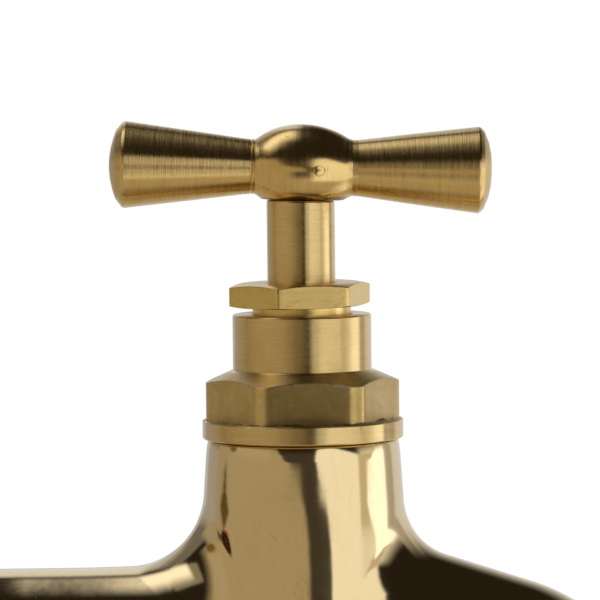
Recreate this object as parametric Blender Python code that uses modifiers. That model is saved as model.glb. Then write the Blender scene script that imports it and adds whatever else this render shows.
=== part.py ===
"""A brass hose bib: a half-inch bib tap with a tee handle, a rising spindle, a jumper valve and a hose union.

Frame: the origin is the centre of the inlet's shoulder face, on the inlet's axis. +X runs from the wall
towards the spout, +Z is up along the spindle, and the tap is closed. Lengths are metres.
"""

import math

import bmesh
import bpy

MM = 0.001
FIT_GAP = 0.3 * MM  # clearance between neighbouring pieces
ROUND = 36  # segments round a large turned piece
ROUND_SMALL = 24
EXTRA = 2 * MM  # how far a cutter runs past the face that it opens

# Body casting
SPINDLE_X = 54 * MM
ARM_R = 10.5 * MM
BARREL_TOP_R = 14.4 * MM
BARREL_R = 15.2 * MM
BODY_TOP_Z = 29.8 * MM
BARREL_BOTTOM_Z = -15.5 * MM
SHOULDER_R = 13.5 * MM
INLET_THREAD_R = 20.955 / 2 * MM
INLET_THREAD_LENGTH = 15 * MM
INLET_BORE_R = 6.5 * MM
FLARE_R = 14 * MM

# Valve seat and chambers
SEAT_HOLE_R = 6.35 * MM
SEAT_LAND_R = 8.3 * MM
SEAT_Z = 5.5 * MM
CHAMBER_FLOOR_Z = 3.5 * MM
CHAMBER_R = 11 * MM
UNDER_SEAT_R = 7 * MM
UNDER_SEAT_Z = -4 * MM

# Spout and outlet
SPOUT_R = 12.5 * MM
SPOUT_BORE_R = 9 * MM
SPOUT_FALL = math.radians(18)  # slope of the spout where it leaves the barrel
BEND_R = 14.5 * MM
OUTLET_OFFSET = 42 * MM  # from the spindle's axis to the outlet's
BEND_Z = -17.9 * MM
OUTLET_THREAD_R = 26.441 / 2 * MM
OUTLET_THREAD_TOP_Z = -29 * MM
OUTLET_END_Z = -41 * MM

# Bonnet
BONNET_THREAD_R = 12 * MM
SPIGOT_R = BONNET_THREAD_R - 0.4 * MM
SPIGOT_BOTTOM_Z = 18.6 * MM
FLANGE_R = 15.1 * MM
FLANGE_Z = BODY_TOP_Z + FIT_GAP
FLANGE_HEIGHT = 2.7 * MM
BONNET_HEX_FLATS = 26.1 * MM
BONNET_HEX_CORNER_R = 14.55 * MM
BONNET_HEX_HEIGHT = 5.7 * MM
BONNET_HEX_TURN = math.radians(4.6)
CONE_HEIGHT = 1.9 * MM
STUFFING_BOX_R = 10.42 * MM
BONNET_TOP_Z = 48.65 * MM
BOX_BORE_R = 7.7 * MM
BOX_FLOOR_Z = 36.5 * MM
BOX_FLOOR_THICKNESS = 2.5 * MM
WASHER_RECESS_R = 13.5 * MM
WASHER_RECESS_DEPTH = 1.5 * MM

# Spindle and gland
SPINDLE_R = 5.1 * MM
SPINDLE_THREAD_R = 5.9 * MM
SPINDLE_THREAD_Z = (16 * MM, 27 * MM)
SPINDLE_BOTTOM_Z = 11.8 * MM
GLAND_HEX_FLATS = 18.6 * MM
GLAND_HEX_TURN = math.radians(12)
GLAND_HEX_Z = (49.8 * MM, 53.4 * MM)
GLAND_COLLAR_R = BOX_BORE_R - FIT_GAP
GLAND_COLLAR_BOTTOM_Z = 44.4 * MM
PACKING_HEIGHT = 1.8 * MM
PACKING_RINGS = 3
GLAND_WASHER_HEIGHT = 1 * MM

# Tee handle, about its own axis
HANDLE_Z = 70.65 * MM
HANDLE_LEAN = math.radians(1.5)  # the handle sits a little out of square
HUB_R = 6.45 * MM
HUB_HALF = 7.3 * MM
NECK_R = 4.2 * MM
NECK_X = 8.4 * MM
HUB_FLAT = 4.85 * MM  # from the handle's axis down to the hub's underside
RIM_X = 26.6 * MM
RIM_R = 6.54 * MM
HANDLE_HALF = 28.85 * MM
TENON_WIDTH = 6.4 * MM
TENON_TOP_Z = 73.4 * MM
PIN_R = 0.8 * MM
PIN_OFFSET = 2.8 * MM
PIN_DROP = 0.4 * MM

# Jumper valve
JUMPER_STEM_R = 2.9 * MM
JUMPER_STEM_TOP_Z = 20 * MM
JUMPER_STUD_R = 2 * MM
JUMPER_STUD_BOTTOM_Z = 1.6 * MM
JUMPER_PLATE_Z = (9.5 * MM, 11.5 * MM)
JUMPER_PLATE_R = 8 * MM
PEG_R = 0.7 * MM
PEG_Z = 14.2 * MM
TAP_WASHER_R = 7.8 * MM
TAP_WASHER_Z = (SEAT_Z + FIT_GAP, JUMPER_PLATE_Z[0] - FIT_GAP)
NUT_WASHER_R = 4.5 * MM
NUT_WASHER_Z = (4.9 * MM, 5.5 * MM)
JUMPER_NUT_FLATS = 7.6 * MM
JUMPER_NUT_Z = (2.2 * MM, 4.6 * MM)

# Hose union
UNION_HEX_FLATS = 32 * MM
UNION_TOP_Z = -31 * MM
UNION_BOTTOM_Z = -49 * MM
UNION_LIP_THICKNESS = 2.5 * MM
UNION_BORE_R = OUTLET_THREAD_R + 0.38 * MM
UNION_WASHER_HEIGHT = 2 * MM
TAIL_FLANGE_R = 12.6 * MM
TAIL_FLANGE_HEIGHT = 2.6 * MM
TAIL_NECK_R = 8.8 * MM
TAIL_NECK_BOTTOM_Z = -51 * MM
TAIL_BORE_R = 4.8 * MM
BARBS = 5
BARB_PITCH = 5.2 * MM
BARB_R = 7.4 * MM
BARB_ROOT_R = 6.2 * MM

BRASS_CAST = ("polished_brass", (0.80, 0.66, 0.40), 0.12, 1.0)
BRASS_TURNED = ("turned_brass", (0.72, 0.55, 0.27), 0.32, 1.0)
BRASS_MILLED = ("milled_brass", (0.66, 0.49, 0.22), 0.40, 1.0)
FIBRE = ("red_fibre", (0.42, 0.12, 0.08), 0.75, 0.0)
RUBBER = ("black_rubber", (0.03, 0.03, 0.03), 0.65, 0.0)
PACKING = ("ptfe_packing", (0.82, 0.81, 0.77), 0.60, 0.0)


def clear_scene():
    for old in list(bpy.data.objects):
        bpy.data.objects.remove(old, do_unlink=True)


def new_collection(name):
    made = bpy.data.collections.new(name)
    bpy.context.scene.collection.children.link(made)
    return made


def give_material(obj, look):
    """A material of the object's own, named for it, in one of the looks above."""
    kind, colour, roughness, metallic = look
    material = bpy.data.materials.new(f"{obj.name}_{kind}")
    material.use_nodes = True
    shader = material.node_tree.nodes["Principled BSDF"]
    shader.inputs["Base Color"].default_value = (*colour, 1)
    shader.inputs["Roughness"].default_value = roughness
    shader.inputs["Metallic"].default_value = metallic
    obj.data.materials.append(material)


def place(obj, collection, parent, look=None):
    collection.objects.link(obj)
    obj.parent = parent
    if look:
        give_material(obj, look)
        return
    obj.hide_render = True
    obj.display_type = "WIRE"


def axis_empty(name, x):
    """An empty on a vertical joint axis."""
    empty = bpy.data.objects.new(name, None)
    empty.location = (x, 0, 0)
    PARTS.objects.link(empty)
    return empty


def turned(name, outline, parent=None, look=None, segments=ROUND):
    """A solid turned about local Z. The outline is (radius, height) points down the outer side, from the top;
    it closes on the axis, or on itself when it has no point there."""
    mesh = bpy.data.meshes.new(name)
    last = len(outline) - 1
    edges = [(i, i + 1) for i in range(last)]
    if outline[0][0] > 0:
        edges.append((last, 0))
    mesh.from_pydata([(r, 0, z) for r, z in outline], edges, [])
    obj = bpy.data.objects.new(name, mesh)
    screw = obj.modifiers.new("turn", "SCREW")
    screw.steps = screw.render_steps = segments
    screw.use_merge_vertices = True
    screw.merge_threshold = 0.00005
    screw.use_smooth_shade = False
    place(obj, PARTS if look else CUTTERS, parent, look)
    return obj


def ring(name, inner, outer, low, high, look, segments=ROUND):
    outline = [(outer, high), (outer, low), (inner, low), (inner, high)]
    return turned(name, outline, TAP_AXIS, look, segments)


def prism(name, sides, across, low, high, turn, parent, look=None):
    """An upright prism of a width across its flats, with a flat facing -Y turned by an angle about Z."""
    mesh = bpy.data.meshes.new(name)
    shape = bmesh.new()
    corner_r = across / 2 / math.cos(math.pi / sides)
    bmesh.ops.create_cone(
        shape, cap_ends=True, segments=sides, radius1=corner_r, radius2=corner_r, depth=high - low
    )
    shape.to_mesh(mesh)
    shape.free()
    obj = bpy.data.objects.new(name, mesh)
    obj.location = (0, 0, (low + high) / 2)
    obj.rotation_euler = (0, 0, turn + math.pi / sides)
    place(obj, PARTS if look else CUTTERS, parent, look)
    return obj


def cross_rod(name, radius, length, x, z, look=None, segments=ROUND_SMALL):
    """A rod along Y, at an offset from the tap's axis."""
    mesh = bpy.data.meshes.new(name)
    shape = bmesh.new()
    bmesh.ops.create_cone(
        shape, cap_ends=True, segments=segments, radius1=radius, radius2=radius, depth=length
    )
    shape.to_mesh(mesh)
    shape.free()
    obj = bpy.data.objects.new(name, mesh)
    obj.location = (x, 0, z)
    obj.rotation_euler = (math.pi / 2, 0, 0)
    place(obj, PARTS if look else CUTTERS, TAP_AXIS, look)
    return obj


def tube_mesh(name, points, roundness):
    """A closed tube through (x, z, radius) points, as a mesh, relative to the tap's axis."""
    curve = bpy.data.curves.new(name, "CURVE")
    curve.dimensions = "3D"
    curve.bevel_depth = 1 * MM
    curve.bevel_resolution = roundness
    curve.use_fill_caps = True
    spline = curve.splines.new("POLY")
    spline.points.add(len(points) - 1)
    for place_on, (x, z, radius) in zip(spline.points, points):
        place_on.co = (x, 0, z, 1)
        place_on.radius = radius / MM
    guide = bpy.data.objects.new(name + "_guide", curve)
    CUTTERS.objects.link(guide)
    guide.location = (SPINDLE_X, 0, 0)
    bpy.context.view_layer.update()
    mesh = bpy.data.meshes.new_from_object(guide.evaluated_get(bpy.context.evaluated_depsgraph_get()))
    shape = bmesh.new()
    shape.from_mesh(mesh)
    bmesh.ops.remove_doubles(shape, verts=shape.verts, dist=0.00001)
    bmesh.ops.recalc_face_normals(shape, faces=shape.faces)
    shape.to_mesh(mesh)
    shape.free()
    obj = bpy.data.objects.new(name, mesh)
    obj.matrix_world = guide.matrix_world
    place(obj, CUTTERS, None)
    bpy.data.objects.remove(guide, do_unlink=True)
    return obj


def combine(obj, operation, other):
    step = obj.modifiers.new(f"{operation.lower()}_{other.name}", "BOOLEAN")
    step.operation = operation
    step.solver = "EXACT"
    step.object = other


def arc(centre, radius, start_deg, end_deg, steps):
    """(x, z) points of an arc, with angles anticlockwise from +x."""
    found = []
    for i in range(steps + 1):
        angle = math.radians(start_deg + (end_deg - start_deg) * i / steps)
        found.append((centre[0] + radius * math.cos(angle), centre[1] + radius * math.sin(angle)))
    return found


def spout_path(start, radius, end_z):
    """(x, z, radius) down the spout: a falling straight, a bend and a drop. start is x from the tap's axis."""
    bend_centre = (OUTLET_OFFSET - BEND_R, BEND_Z)
    bend = arc(bend_centre, BEND_R, 90 - math.degrees(SPOUT_FALL), 0, 9)
    first_x, first_z = bend[0]
    straight = (start, first_z + (first_x - start) * math.tan(SPOUT_FALL))
    return [(x, z, radius) for x, z in [straight, *bend, (OUTLET_OFFSET, end_z)]]


def barrel():
    """The casting's upright part, with a rounded bottom."""
    bottom = arc((0, 0), 1, 0, -90, 7)
    round_height = 12 * MM
    low = [(BARREL_R * x, BARREL_BOTTOM_Z + round_height * (1 + z)) for x, z in bottom[:-1]]
    top = [(0, BODY_TOP_Z), (BARREL_TOP_R, BODY_TOP_Z), (BARREL_TOP_R + 0.4 * MM, 22 * MM)]
    return turned("body", [*top, *low, (0, BARREL_BOTTOM_Z)], TAP_AXIS, BRASS_CAST)


def inlet_arm():
    """The arm with its threaded end, turned about X. Heights run from the shoulder towards the wall."""
    groove_r = INLET_THREAD_R - 1.1 * MM
    reach = SPINDLE_X - 8 * MM
    outline = [
        (0, INLET_THREAD_LENGTH),
        (INLET_THREAD_R - 1 * MM, INLET_THREAD_LENGTH),
        (INLET_THREAD_R, INLET_THREAD_LENGTH - 1 * MM),
        (INLET_THREAD_R, 2.8 * MM),
        (groove_r, 2 * MM),
        (groove_r, 0),
        (SHOULDER_R, 0),
        (SHOULDER_R, -2.6 * MM),
        (ARM_R, -5 * MM),
        (ARM_R, BARREL_R + 12 * MM - SPINDLE_X),
        (ARM_R + 0.6 * MM, BARREL_R + 7.5 * MM - SPINDLE_X),
        (ARM_R + 1.6 * MM, BARREL_R + 4.8 * MM - SPINDLE_X),
        (FLARE_R, BARREL_R + 2.8 * MM - SPINDLE_X),
        (FLARE_R, -reach),
        (0, -reach),
    ]
    arm = turned("inlet_arm", outline)
    arm.rotation_euler = (0, -math.pi / 2, 0)
    return arm


def outlet():
    """The spout's threaded end."""
    outline = [
        (0, BEND_Z - 6 * MM),
        (SPOUT_R - 0.05 * MM, BEND_Z - 6 * MM),
        (SPOUT_R - 0.05 * MM, OUTLET_THREAD_TOP_Z),
        (OUTLET_THREAD_R, OUTLET_THREAD_TOP_Z - 0.7 * MM),
        (OUTLET_THREAD_R, OUTLET_END_Z + 1 * MM),
        (OUTLET_THREAD_R - 1 * MM, OUTLET_END_Z),
        (0, OUTLET_END_Z),
    ]
    return turned("outlet", outline, OUTLET_AXIS)


def waterway():
    """The casting's hollows: inlet passage under the seat, seat hole, chamber, port and spout."""
    inlet = turned(
        "inlet_bore",
        [
            (0, INLET_THREAD_LENGTH + EXTRA),
            (INLET_BORE_R, INLET_THREAD_LENGTH + EXTRA),
            (INLET_BORE_R, 18 * MM - SPINDLE_X),
            (0, 18 * MM - SPINDLE_X),
        ],
        segments=ROUND_SMALL,
    )
    inlet.rotation_euler = (0, -math.pi / 2, 0)
    dip = [(-20, 0, 6.45), (-17, -1.2, 6.3), (-13.5, -3, 5.8), (-9, -4, 5.4), (-1, UNDER_SEAT_Z / MM, 5.4)]
    passage = tube_mesh("under_seat_passage", [(x * MM, z * MM, r * MM) for x, z, r in dip], 3)
    bowl_arc = arc((0, UNDER_SEAT_Z), UNDER_SEAT_R, 90, -90, 10)
    bowl = turned("under_seat_bowl", [(0, bowl_arc[0][1]), *bowl_arc[1:-1], (0, bowl_arc[-1][1])], TAP_AXIS)
    hole = turned(
        "seat_hole",
        [
            (0, SEAT_Z + EXTRA),
            (SEAT_HOLE_R, SEAT_Z + EXTRA),
            (SEAT_HOLE_R, UNDER_SEAT_Z - EXTRA),
            (0, UNDER_SEAT_Z - EXTRA),
        ],
        TAP_AXIS,
    )
    chamber = turned(
        "chamber",
        [
            (0, BODY_TOP_Z + EXTRA),
            (WASHER_RECESS_R, BODY_TOP_Z + EXTRA),
            (WASHER_RECESS_R, BODY_TOP_Z - WASHER_RECESS_DEPTH),
            (BONNET_THREAD_R, BODY_TOP_Z - WASHER_RECESS_DEPTH),
            (BONNET_THREAD_R, SPIGOT_BOTTOM_Z - 1 * MM),
            (CHAMBER_R, SPIGOT_BOTTOM_Z - 1 * MM),
            (CHAMBER_R, CHAMBER_FLOOR_Z),
            (SEAT_LAND_R, CHAMBER_FLOOR_Z),
            (SEAT_LAND_R, SEAT_Z),
            (0, SEAT_Z),
        ],
        TAP_AXIS,
    )
    spout = tube_mesh("spout_bore", spout_path(12 * MM, SPOUT_BORE_R, OUTLET_END_Z - EXTRA), 3)
    return [inlet, passage, bowl, hole, chamber, port(), spout]


def port():
    """The oval way from the chamber over the seat into the spout."""
    mesh = bpy.data.meshes.new("port")
    shape = bmesh.new()
    bmesh.ops.create_cone(shape, cap_ends=True, segments=24, radius1=1, radius2=1, depth=1)
    bmesh.ops.scale(shape, vec=(4 * MM, 6.5 * MM, 8.4 * MM), verts=shape.verts)
    shape.to_mesh(mesh)
    shape.free()
    obj = bpy.data.objects.new("port", mesh)
    obj.location = (SEAT_LAND_R + 4.5 * MM, 0, 7.8 * MM)
    obj.rotation_euler = (0, math.pi / 2, 0)
    place(obj, CUTTERS, TAP_AXIS)
    return obj


def body():
    casting = barrel()
    combine(casting, "UNION", inlet_arm())
    combine(casting, "UNION", tube_mesh("spout", spout_path(4 * MM, SPOUT_R, BEND_Z - 8 * MM), 6))
    combine(casting, "UNION", outlet())
    for hollow in waterway():
        combine(casting, "DIFFERENCE", hollow)


def hex_blank(name, flats, turn, outline, extra_low, extra_high):
    """A hexagon whose corners and edges are turned: a prism common to a turned outline."""
    blank = turned(f"{name}_blank", outline, TAP_AXIS)
    sides = prism(name, 6, flats, extra_low, extra_high, turn, TAP_AXIS)
    combine(sides, "INTERSECT", blank)
    return sides


def bonnet():
    flange_top = FLANGE_Z + FLANGE_HEIGHT
    hex_top = flange_top + BONNET_HEX_HEIGHT
    cone_top = hex_top + CONE_HEIGHT
    outline = [
        (0, BONNET_TOP_Z),
        (STUFFING_BOX_R - 0.35 * MM, BONNET_TOP_Z),
        (STUFFING_BOX_R, BONNET_TOP_Z - 0.35 * MM),
        (STUFFING_BOX_R, flange_top),
        (FLANGE_R, flange_top),
        (FLANGE_R, FLANGE_Z + 0.4 * MM),
        (FLANGE_R - 0.4 * MM, FLANGE_Z),
        (SPIGOT_R, FLANGE_Z),
        (SPIGOT_R, SPIGOT_BOTTOM_Z + 0.8 * MM),
        (SPIGOT_R - 0.8 * MM, SPIGOT_BOTTOM_Z),
        (0, SPIGOT_BOTTOM_Z),
    ]
    main = turned("bonnet", outline, TAP_AXIS, BRASS_TURNED)
    low = FLANGE_Z + 1 * MM
    blank = [
        (0, cone_top),
        (STUFFING_BOX_R - 0.2 * MM, cone_top),
        (BONNET_HEX_CORNER_R, hex_top),
        (BONNET_HEX_CORNER_R, low),
        (0, low),
    ]
    hexagon = hex_blank("bonnet_hex", BONNET_HEX_FLATS, BONNET_HEX_TURN, blank, low - EXTRA, cone_top + EXTRA)
    combine(main, "UNION", hexagon)
    floor_low = BOX_FLOOR_Z - BOX_FLOOR_THICKNESS
    nut_bore_r = SPINDLE_THREAD_R + FIT_GAP
    bores = [
        (0, BONNET_TOP_Z + EXTRA),
        (BOX_BORE_R, BONNET_TOP_Z + EXTRA),
        (BOX_BORE_R, BOX_FLOOR_Z),
        (SPINDLE_R + FIT_GAP, BOX_FLOOR_Z),
        (SPINDLE_R + FIT_GAP, floor_low),
        (nut_bore_r, floor_low),
        (nut_bore_r, SPIGOT_BOTTOM_Z - EXTRA),
        (0, SPIGOT_BOTTOM_Z - EXTRA),
    ]
    combine(main, "DIFFERENCE", turned("bonnet_bores", bores, TAP_AXIS))


def gland_nut():
    low, high = GLAND_HEX_Z
    corner_r = GLAND_HEX_FLATS / 2 / math.cos(math.pi / 6)
    chamfer_r = GLAND_HEX_FLATS / 2 - 0.2 * MM
    outline = [
        (0, low + 1 * MM),
        (GLAND_COLLAR_R, low + 1 * MM),
        (GLAND_COLLAR_R, GLAND_COLLAR_BOTTOM_Z + 0.5 * MM),
        (GLAND_COLLAR_R - 0.5 * MM, GLAND_COLLAR_BOTTOM_Z),
        (0, GLAND_COLLAR_BOTTOM_Z),
    ]
    main = turned("gland_nut", outline, TAP_AXIS, BRASS_MILLED)
    blank = [(0, high), (chamfer_r, high), (corner_r + 0.1 * MM, high - 0.75 * MM), (corner_r + 0.1 * MM, low), (0, low)]
    combine(main, "UNION", hex_blank("gland_hex", GLAND_HEX_FLATS, GLAND_HEX_TURN, blank, low - EXTRA, high + EXTRA))
    bore_r = SPINDLE_R + FIT_GAP
    bore = [
        (0, high + EXTRA),
        (bore_r, high + EXTRA),
        (bore_r, GLAND_COLLAR_BOTTOM_Z - EXTRA),
        (0, GLAND_COLLAR_BOTTOM_Z - EXTRA),
    ]
    combine(main, "DIFFERENCE", turned("gland_bore", bore, TAP_AXIS))


def packing():
    """The rings in the stuffing box, from its floor up, and the follower on top of them."""
    inner, outer = SPINDLE_R + FIT_GAP, BOX_BORE_R - FIT_GAP
    low = BOX_FLOOR_Z + FIT_GAP
    for i in range(PACKING_RINGS):
        ring(f"packing_ring_{i + 1}", inner, outer, low, low + PACKING_HEIGHT, PACKING, ROUND_SMALL)
        low += PACKING_HEIGHT + FIT_GAP
    ring("gland_washer", inner, outer, low, low + GLAND_WASHER_HEIGHT, BRASS_TURNED, ROUND_SMALL)


def spindle():
    low, high = SPINDLE_THREAD_Z
    shoulder_z = HANDLE_Z - HUB_FLAT - FIT_GAP - SPINDLE_R * math.sin(HANDLE_LEAN)
    outline = [
        (0, shoulder_z),
        (SPINDLE_R - 0.25 * MM, shoulder_z),
        (SPINDLE_R, shoulder_z - 0.25 * MM),
        (SPINDLE_R, high + 0.6 * MM),
        (SPINDLE_THREAD_R, high),
        (SPINDLE_THREAD_R, low),
        (SPINDLE_R, low - 0.6 * MM),
        (SPINDLE_R, SPINDLE_BOTTOM_Z),
        (0, SPINDLE_BOTTOM_Z),
    ]
    stem = turned("spindle", outline, TAP_AXIS, BRASS_TURNED)
    combine(stem, "UNION", prism("tenon", 4, TENON_WIDTH, shoulder_z - 1 * MM, TENON_TOP_Z, 0, TAP_AXIS))
    socket_r = JUMPER_STEM_R + FIT_GAP
    socket_top = JUMPER_STEM_TOP_Z + 0.5 * MM
    socket = [
        (0, socket_top),
        (socket_r, socket_top),
        (socket_r, SPINDLE_BOTTOM_Z - EXTRA),
        (0, SPINDLE_BOTTOM_Z - EXTRA),
    ]
    combine(stem, "DIFFERENCE", turned("jumper_socket", socket, TAP_AXIS, segments=ROUND_SMALL))
    pin_way = cross_rod("tenon_notch", PIN_R + FIT_GAP, 20 * MM, PIN_OFFSET, HANDLE_Z - PIN_DROP)
    combine(stem, "DIFFERENCE", pin_way)
    peg_way = cross_rod("peg_hole", PEG_R + FIT_GAP, 20 * MM, JUMPER_STEM_R, PEG_Z)
    combine(stem, "DIFFERENCE", peg_way)


def hub_radius(x):
    """The hub's radius at a distance along the handle: an arc through its middle and its ends."""
    rise = HUB_R - NECK_R
    arc_r = (HUB_HALF**2 + rise**2) / (2 * rise)
    return HUB_R - arc_r + math.sqrt(arc_r**2 - x**2)


def tee_handle():
    """Turned about its own axis, which lies along X and leans a little; then its flat and socket are cut."""
    arm = [(0, HANDLE_HALF), (3.2 * MM, HANDLE_HALF - 0.35 * MM), (RIM_R - 0.8 * MM, RIM_X + 1 * MM)]
    arm += [(RIM_R, RIM_X), (NECK_R, NECK_X), (NECK_R, HUB_HALF + 0.2 * MM)]
    steps = 10
    hub = [HUB_HALF * (1 - 2 * i / steps) for i in range(steps + 1)]
    outline = [*arm, *[(hub_radius(x), x) for x in hub], *[(r, -x) for r, x in reversed(arm)]]
    handle = turned("tee_handle", outline, TAP_AXIS, BRASS_TURNED, 28)
    handle.location = (0, 0, HANDLE_Z)
    handle.rotation_euler = (0, math.pi / 2 + HANDLE_LEAN, 0)
    flat_z = HANDLE_Z - HUB_FLAT
    below = prism("hub_flat", 4, 20 * MM, flat_z - 10 * MM, flat_z, 0, TAP_AXIS)
    below.rotation_mode = "ZYX"
    below.rotation_euler[1] = HANDLE_LEAN
    combine(handle, "DIFFERENCE", below)
    width = TENON_WIDTH + 2 * FIT_GAP
    socket = prism("handle_socket", 4, width, HANDLE_Z - 10 * MM, TENON_TOP_Z + FIT_GAP, 0, TAP_AXIS)
    combine(handle, "DIFFERENCE", socket)
    pin_hole = cross_rod("handle_pin_hole", PIN_R + FIT_GAP, 20 * MM, PIN_OFFSET, HANDLE_Z - PIN_DROP)
    combine(handle, "DIFFERENCE", pin_hole)
    length = 2 * (hub_radius(PIN_OFFSET) - 0.15 * MM)
    cross_rod("handle_pin", PIN_R, length, PIN_OFFSET, HANDLE_Z - PIN_DROP, BRASS_TURNED, 16)


def jumper():
    low, high = JUMPER_PLATE_Z
    groove_r = JUMPER_STEM_R - PEG_R - FIT_GAP
    groove_half = PEG_R + FIT_GAP
    outline = [
        (0, JUMPER_STEM_TOP_Z),
        (JUMPER_STEM_R - 0.4 * MM, JUMPER_STEM_TOP_Z),
        (JUMPER_STEM_R, JUMPER_STEM_TOP_Z - 0.4 * MM),
        (JUMPER_STEM_R, PEG_Z + groove_half),
        (groove_r, PEG_Z + groove_half),
        (groove_r, PEG_Z - groove_half),
        (JUMPER_STEM_R, PEG_Z - groove_half),
        (JUMPER_STEM_R, high),
        (JUMPER_PLATE_R, high),
        (JUMPER_PLATE_R, low),
        (JUMPER_STUD_R, low),
        (JUMPER_STUD_R, JUMPER_STUD_BOTTOM_Z),
        (0, JUMPER_STUD_BOTTOM_Z),
    ]
    turned("jumper", outline, TAP_AXIS, BRASS_TURNED, ROUND_SMALL)
    half_chord = math.sqrt(SPINDLE_R**2 - JUMPER_STEM_R**2)
    cross_rod("jumper_peg", PEG_R, 2 * half_chord - 0.6 * MM, JUMPER_STEM_R, PEG_Z, BRASS_TURNED, 12)


def valve_washer():
    hole_r = JUMPER_STUD_R + FIT_GAP
    ring("tap_washer", hole_r, TAP_WASHER_R, *TAP_WASHER_Z, RUBBER, ROUND_SMALL)
    ring("jumper_plate", hole_r, NUT_WASHER_R, *NUT_WASHER_Z, BRASS_TURNED, ROUND_SMALL)
    low, high = JUMPER_NUT_Z
    nut = prism("jumper_nut", 6, JUMPER_NUT_FLATS, low, high, 0, TAP_AXIS, BRASS_MILLED)
    hole = [(0, high + EXTRA), (hole_r, high + EXTRA), (hole_r, low - EXTRA), (0, low - EXTRA)]
    combine(nut, "DIFFERENCE", turned("jumper_nut_hole", hole, TAP_AXIS, segments=ROUND_SMALL))


def hose_union():
    corner_r = UNION_HEX_FLATS / 2 / math.cos(math.pi / 6)
    chamfer_r = UNION_HEX_FLATS / 2
    lip_top = UNION_BOTTOM_Z + UNION_LIP_THICKNESS
    blank = [
        (0, UNION_TOP_Z),
        (chamfer_r, UNION_TOP_Z),
        (corner_r, UNION_TOP_Z - 1.3 * MM),
        (corner_r, UNION_BOTTOM_Z + 1.3 * MM),
        (chamfer_r, UNION_BOTTOM_Z),
        (0, UNION_BOTTOM_Z),
    ]
    nut = prism(
        "union_nut", 6, UNION_HEX_FLATS, UNION_BOTTOM_Z - EXTRA, UNION_TOP_Z + EXTRA, 0, OUTLET_AXIS, BRASS_MILLED
    )
    combine(nut, "INTERSECT", turned("union_blank", blank, OUTLET_AXIS))
    bore = [
        (0, UNION_TOP_Z + EXTRA),
        (UNION_BORE_R, UNION_TOP_Z + EXTRA),
        (UNION_BORE_R, lip_top),
        (TAIL_NECK_R + FIT_GAP, lip_top),
        (TAIL_NECK_R + FIT_GAP, UNION_BOTTOM_Z - EXTRA),
        (0, UNION_BOTTOM_Z - EXTRA),
    ]
    combine(nut, "DIFFERENCE", turned("union_bore", bore, OUTLET_AXIS))
    flange_low = lip_top + FIT_GAP
    flange_top = flange_low + TAIL_FLANGE_HEIGHT
    outline = [(TAIL_FLANGE_R, flange_top), (TAIL_FLANGE_R, flange_low), (TAIL_NECK_R, flange_low)]
    outline += [(TAIL_NECK_R, TAIL_NECK_BOTTOM_Z)]
    for i in range(BARBS):
        top = TAIL_NECK_BOTTOM_Z - i * BARB_PITCH
        if i == 0:
            outline.append((BARB_ROOT_R + 0.6 * MM, top))
        else:
            outline.append((BARB_ROOT_R, top))
        outline.append((BARB_ROOT_R, top - 0.9 * MM))
        outline.append((BARB_R, top - 0.9 * MM))
    end_z = TAIL_NECK_BOTTOM_Z - BARBS * BARB_PITCH
    outline += [(BARB_ROOT_R - 0.3 * MM, end_z), (TAIL_BORE_R, end_z), (TAIL_BORE_R, flange_top)]
    turned("hose_tail", outline, OUTLET_AXIS, BRASS_TURNED, 28)
    washer = [
        (TAIL_FLANGE_R, OUTLET_END_Z - FIT_GAP),
        (TAIL_FLANGE_R, OUTLET_END_Z - FIT_GAP - UNION_WASHER_HEIGHT),
        (SPOUT_BORE_R, OUTLET_END_Z - FIT_GAP - UNION_WASHER_HEIGHT),
        (SPOUT_BORE_R, OUTLET_END_Z - FIT_GAP),
    ]
    turned("union_washer", washer, OUTLET_AXIS, RUBBER, ROUND_SMALL)


def flat_washers():
    ring(
        "bonnet_washer",
        BONNET_THREAD_R,
        WASHER_RECESS_R - FIT_GAP,
        BODY_TOP_Z - WASHER_RECESS_DEPTH + FIT_GAP,
        BODY_TOP_Z,
        FIBRE,
    )
    inner = INLET_THREAD_R + FIT_GAP
    washer = turned(
        "inlet_washer",
        [(SHOULDER_R, 2.3 * MM), (SHOULDER_R, FIT_GAP), (inner, FIT_GAP), (inner, 2.3 * MM)],
        None,
        FIBRE,
    )
    washer.rotation_euler = (0, -math.pi / 2, 0)


def finish(obj):
    """Applies the modifiers, then shades round faces smooth and keeps the corners sharp."""
    mesh = bpy.data.meshes.new_from_object(obj.evaluated_get(bpy.context.evaluated_depsgraph_get()))
    obj.modifiers.clear()
    obj.data = mesh
    mesh.shade_smooth()
    mesh.set_sharp_from_angle(angle=math.radians(30))


clear_scene()
PARTS = new_collection("hose_bib")
CUTTERS = new_collection("cutters")
TAP_AXIS = axis_empty("tap_axis", SPINDLE_X)
OUTLET_AXIS = axis_empty("outlet_axis", SPINDLE_X + OUTLET_OFFSET)
body()
bonnet()
flat_washers()
packing()
gland_nut()
spindle()
tee_handle()
jumper()
valve_washer()
hose_union()
for part in PARTS.objects:
    if part.type == "MESH":
        finish(part)
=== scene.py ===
import math
from contextlib import contextmanager

import bmesh
import bpy
import numpy as np
from mathutils import Matrix, Vector


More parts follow.
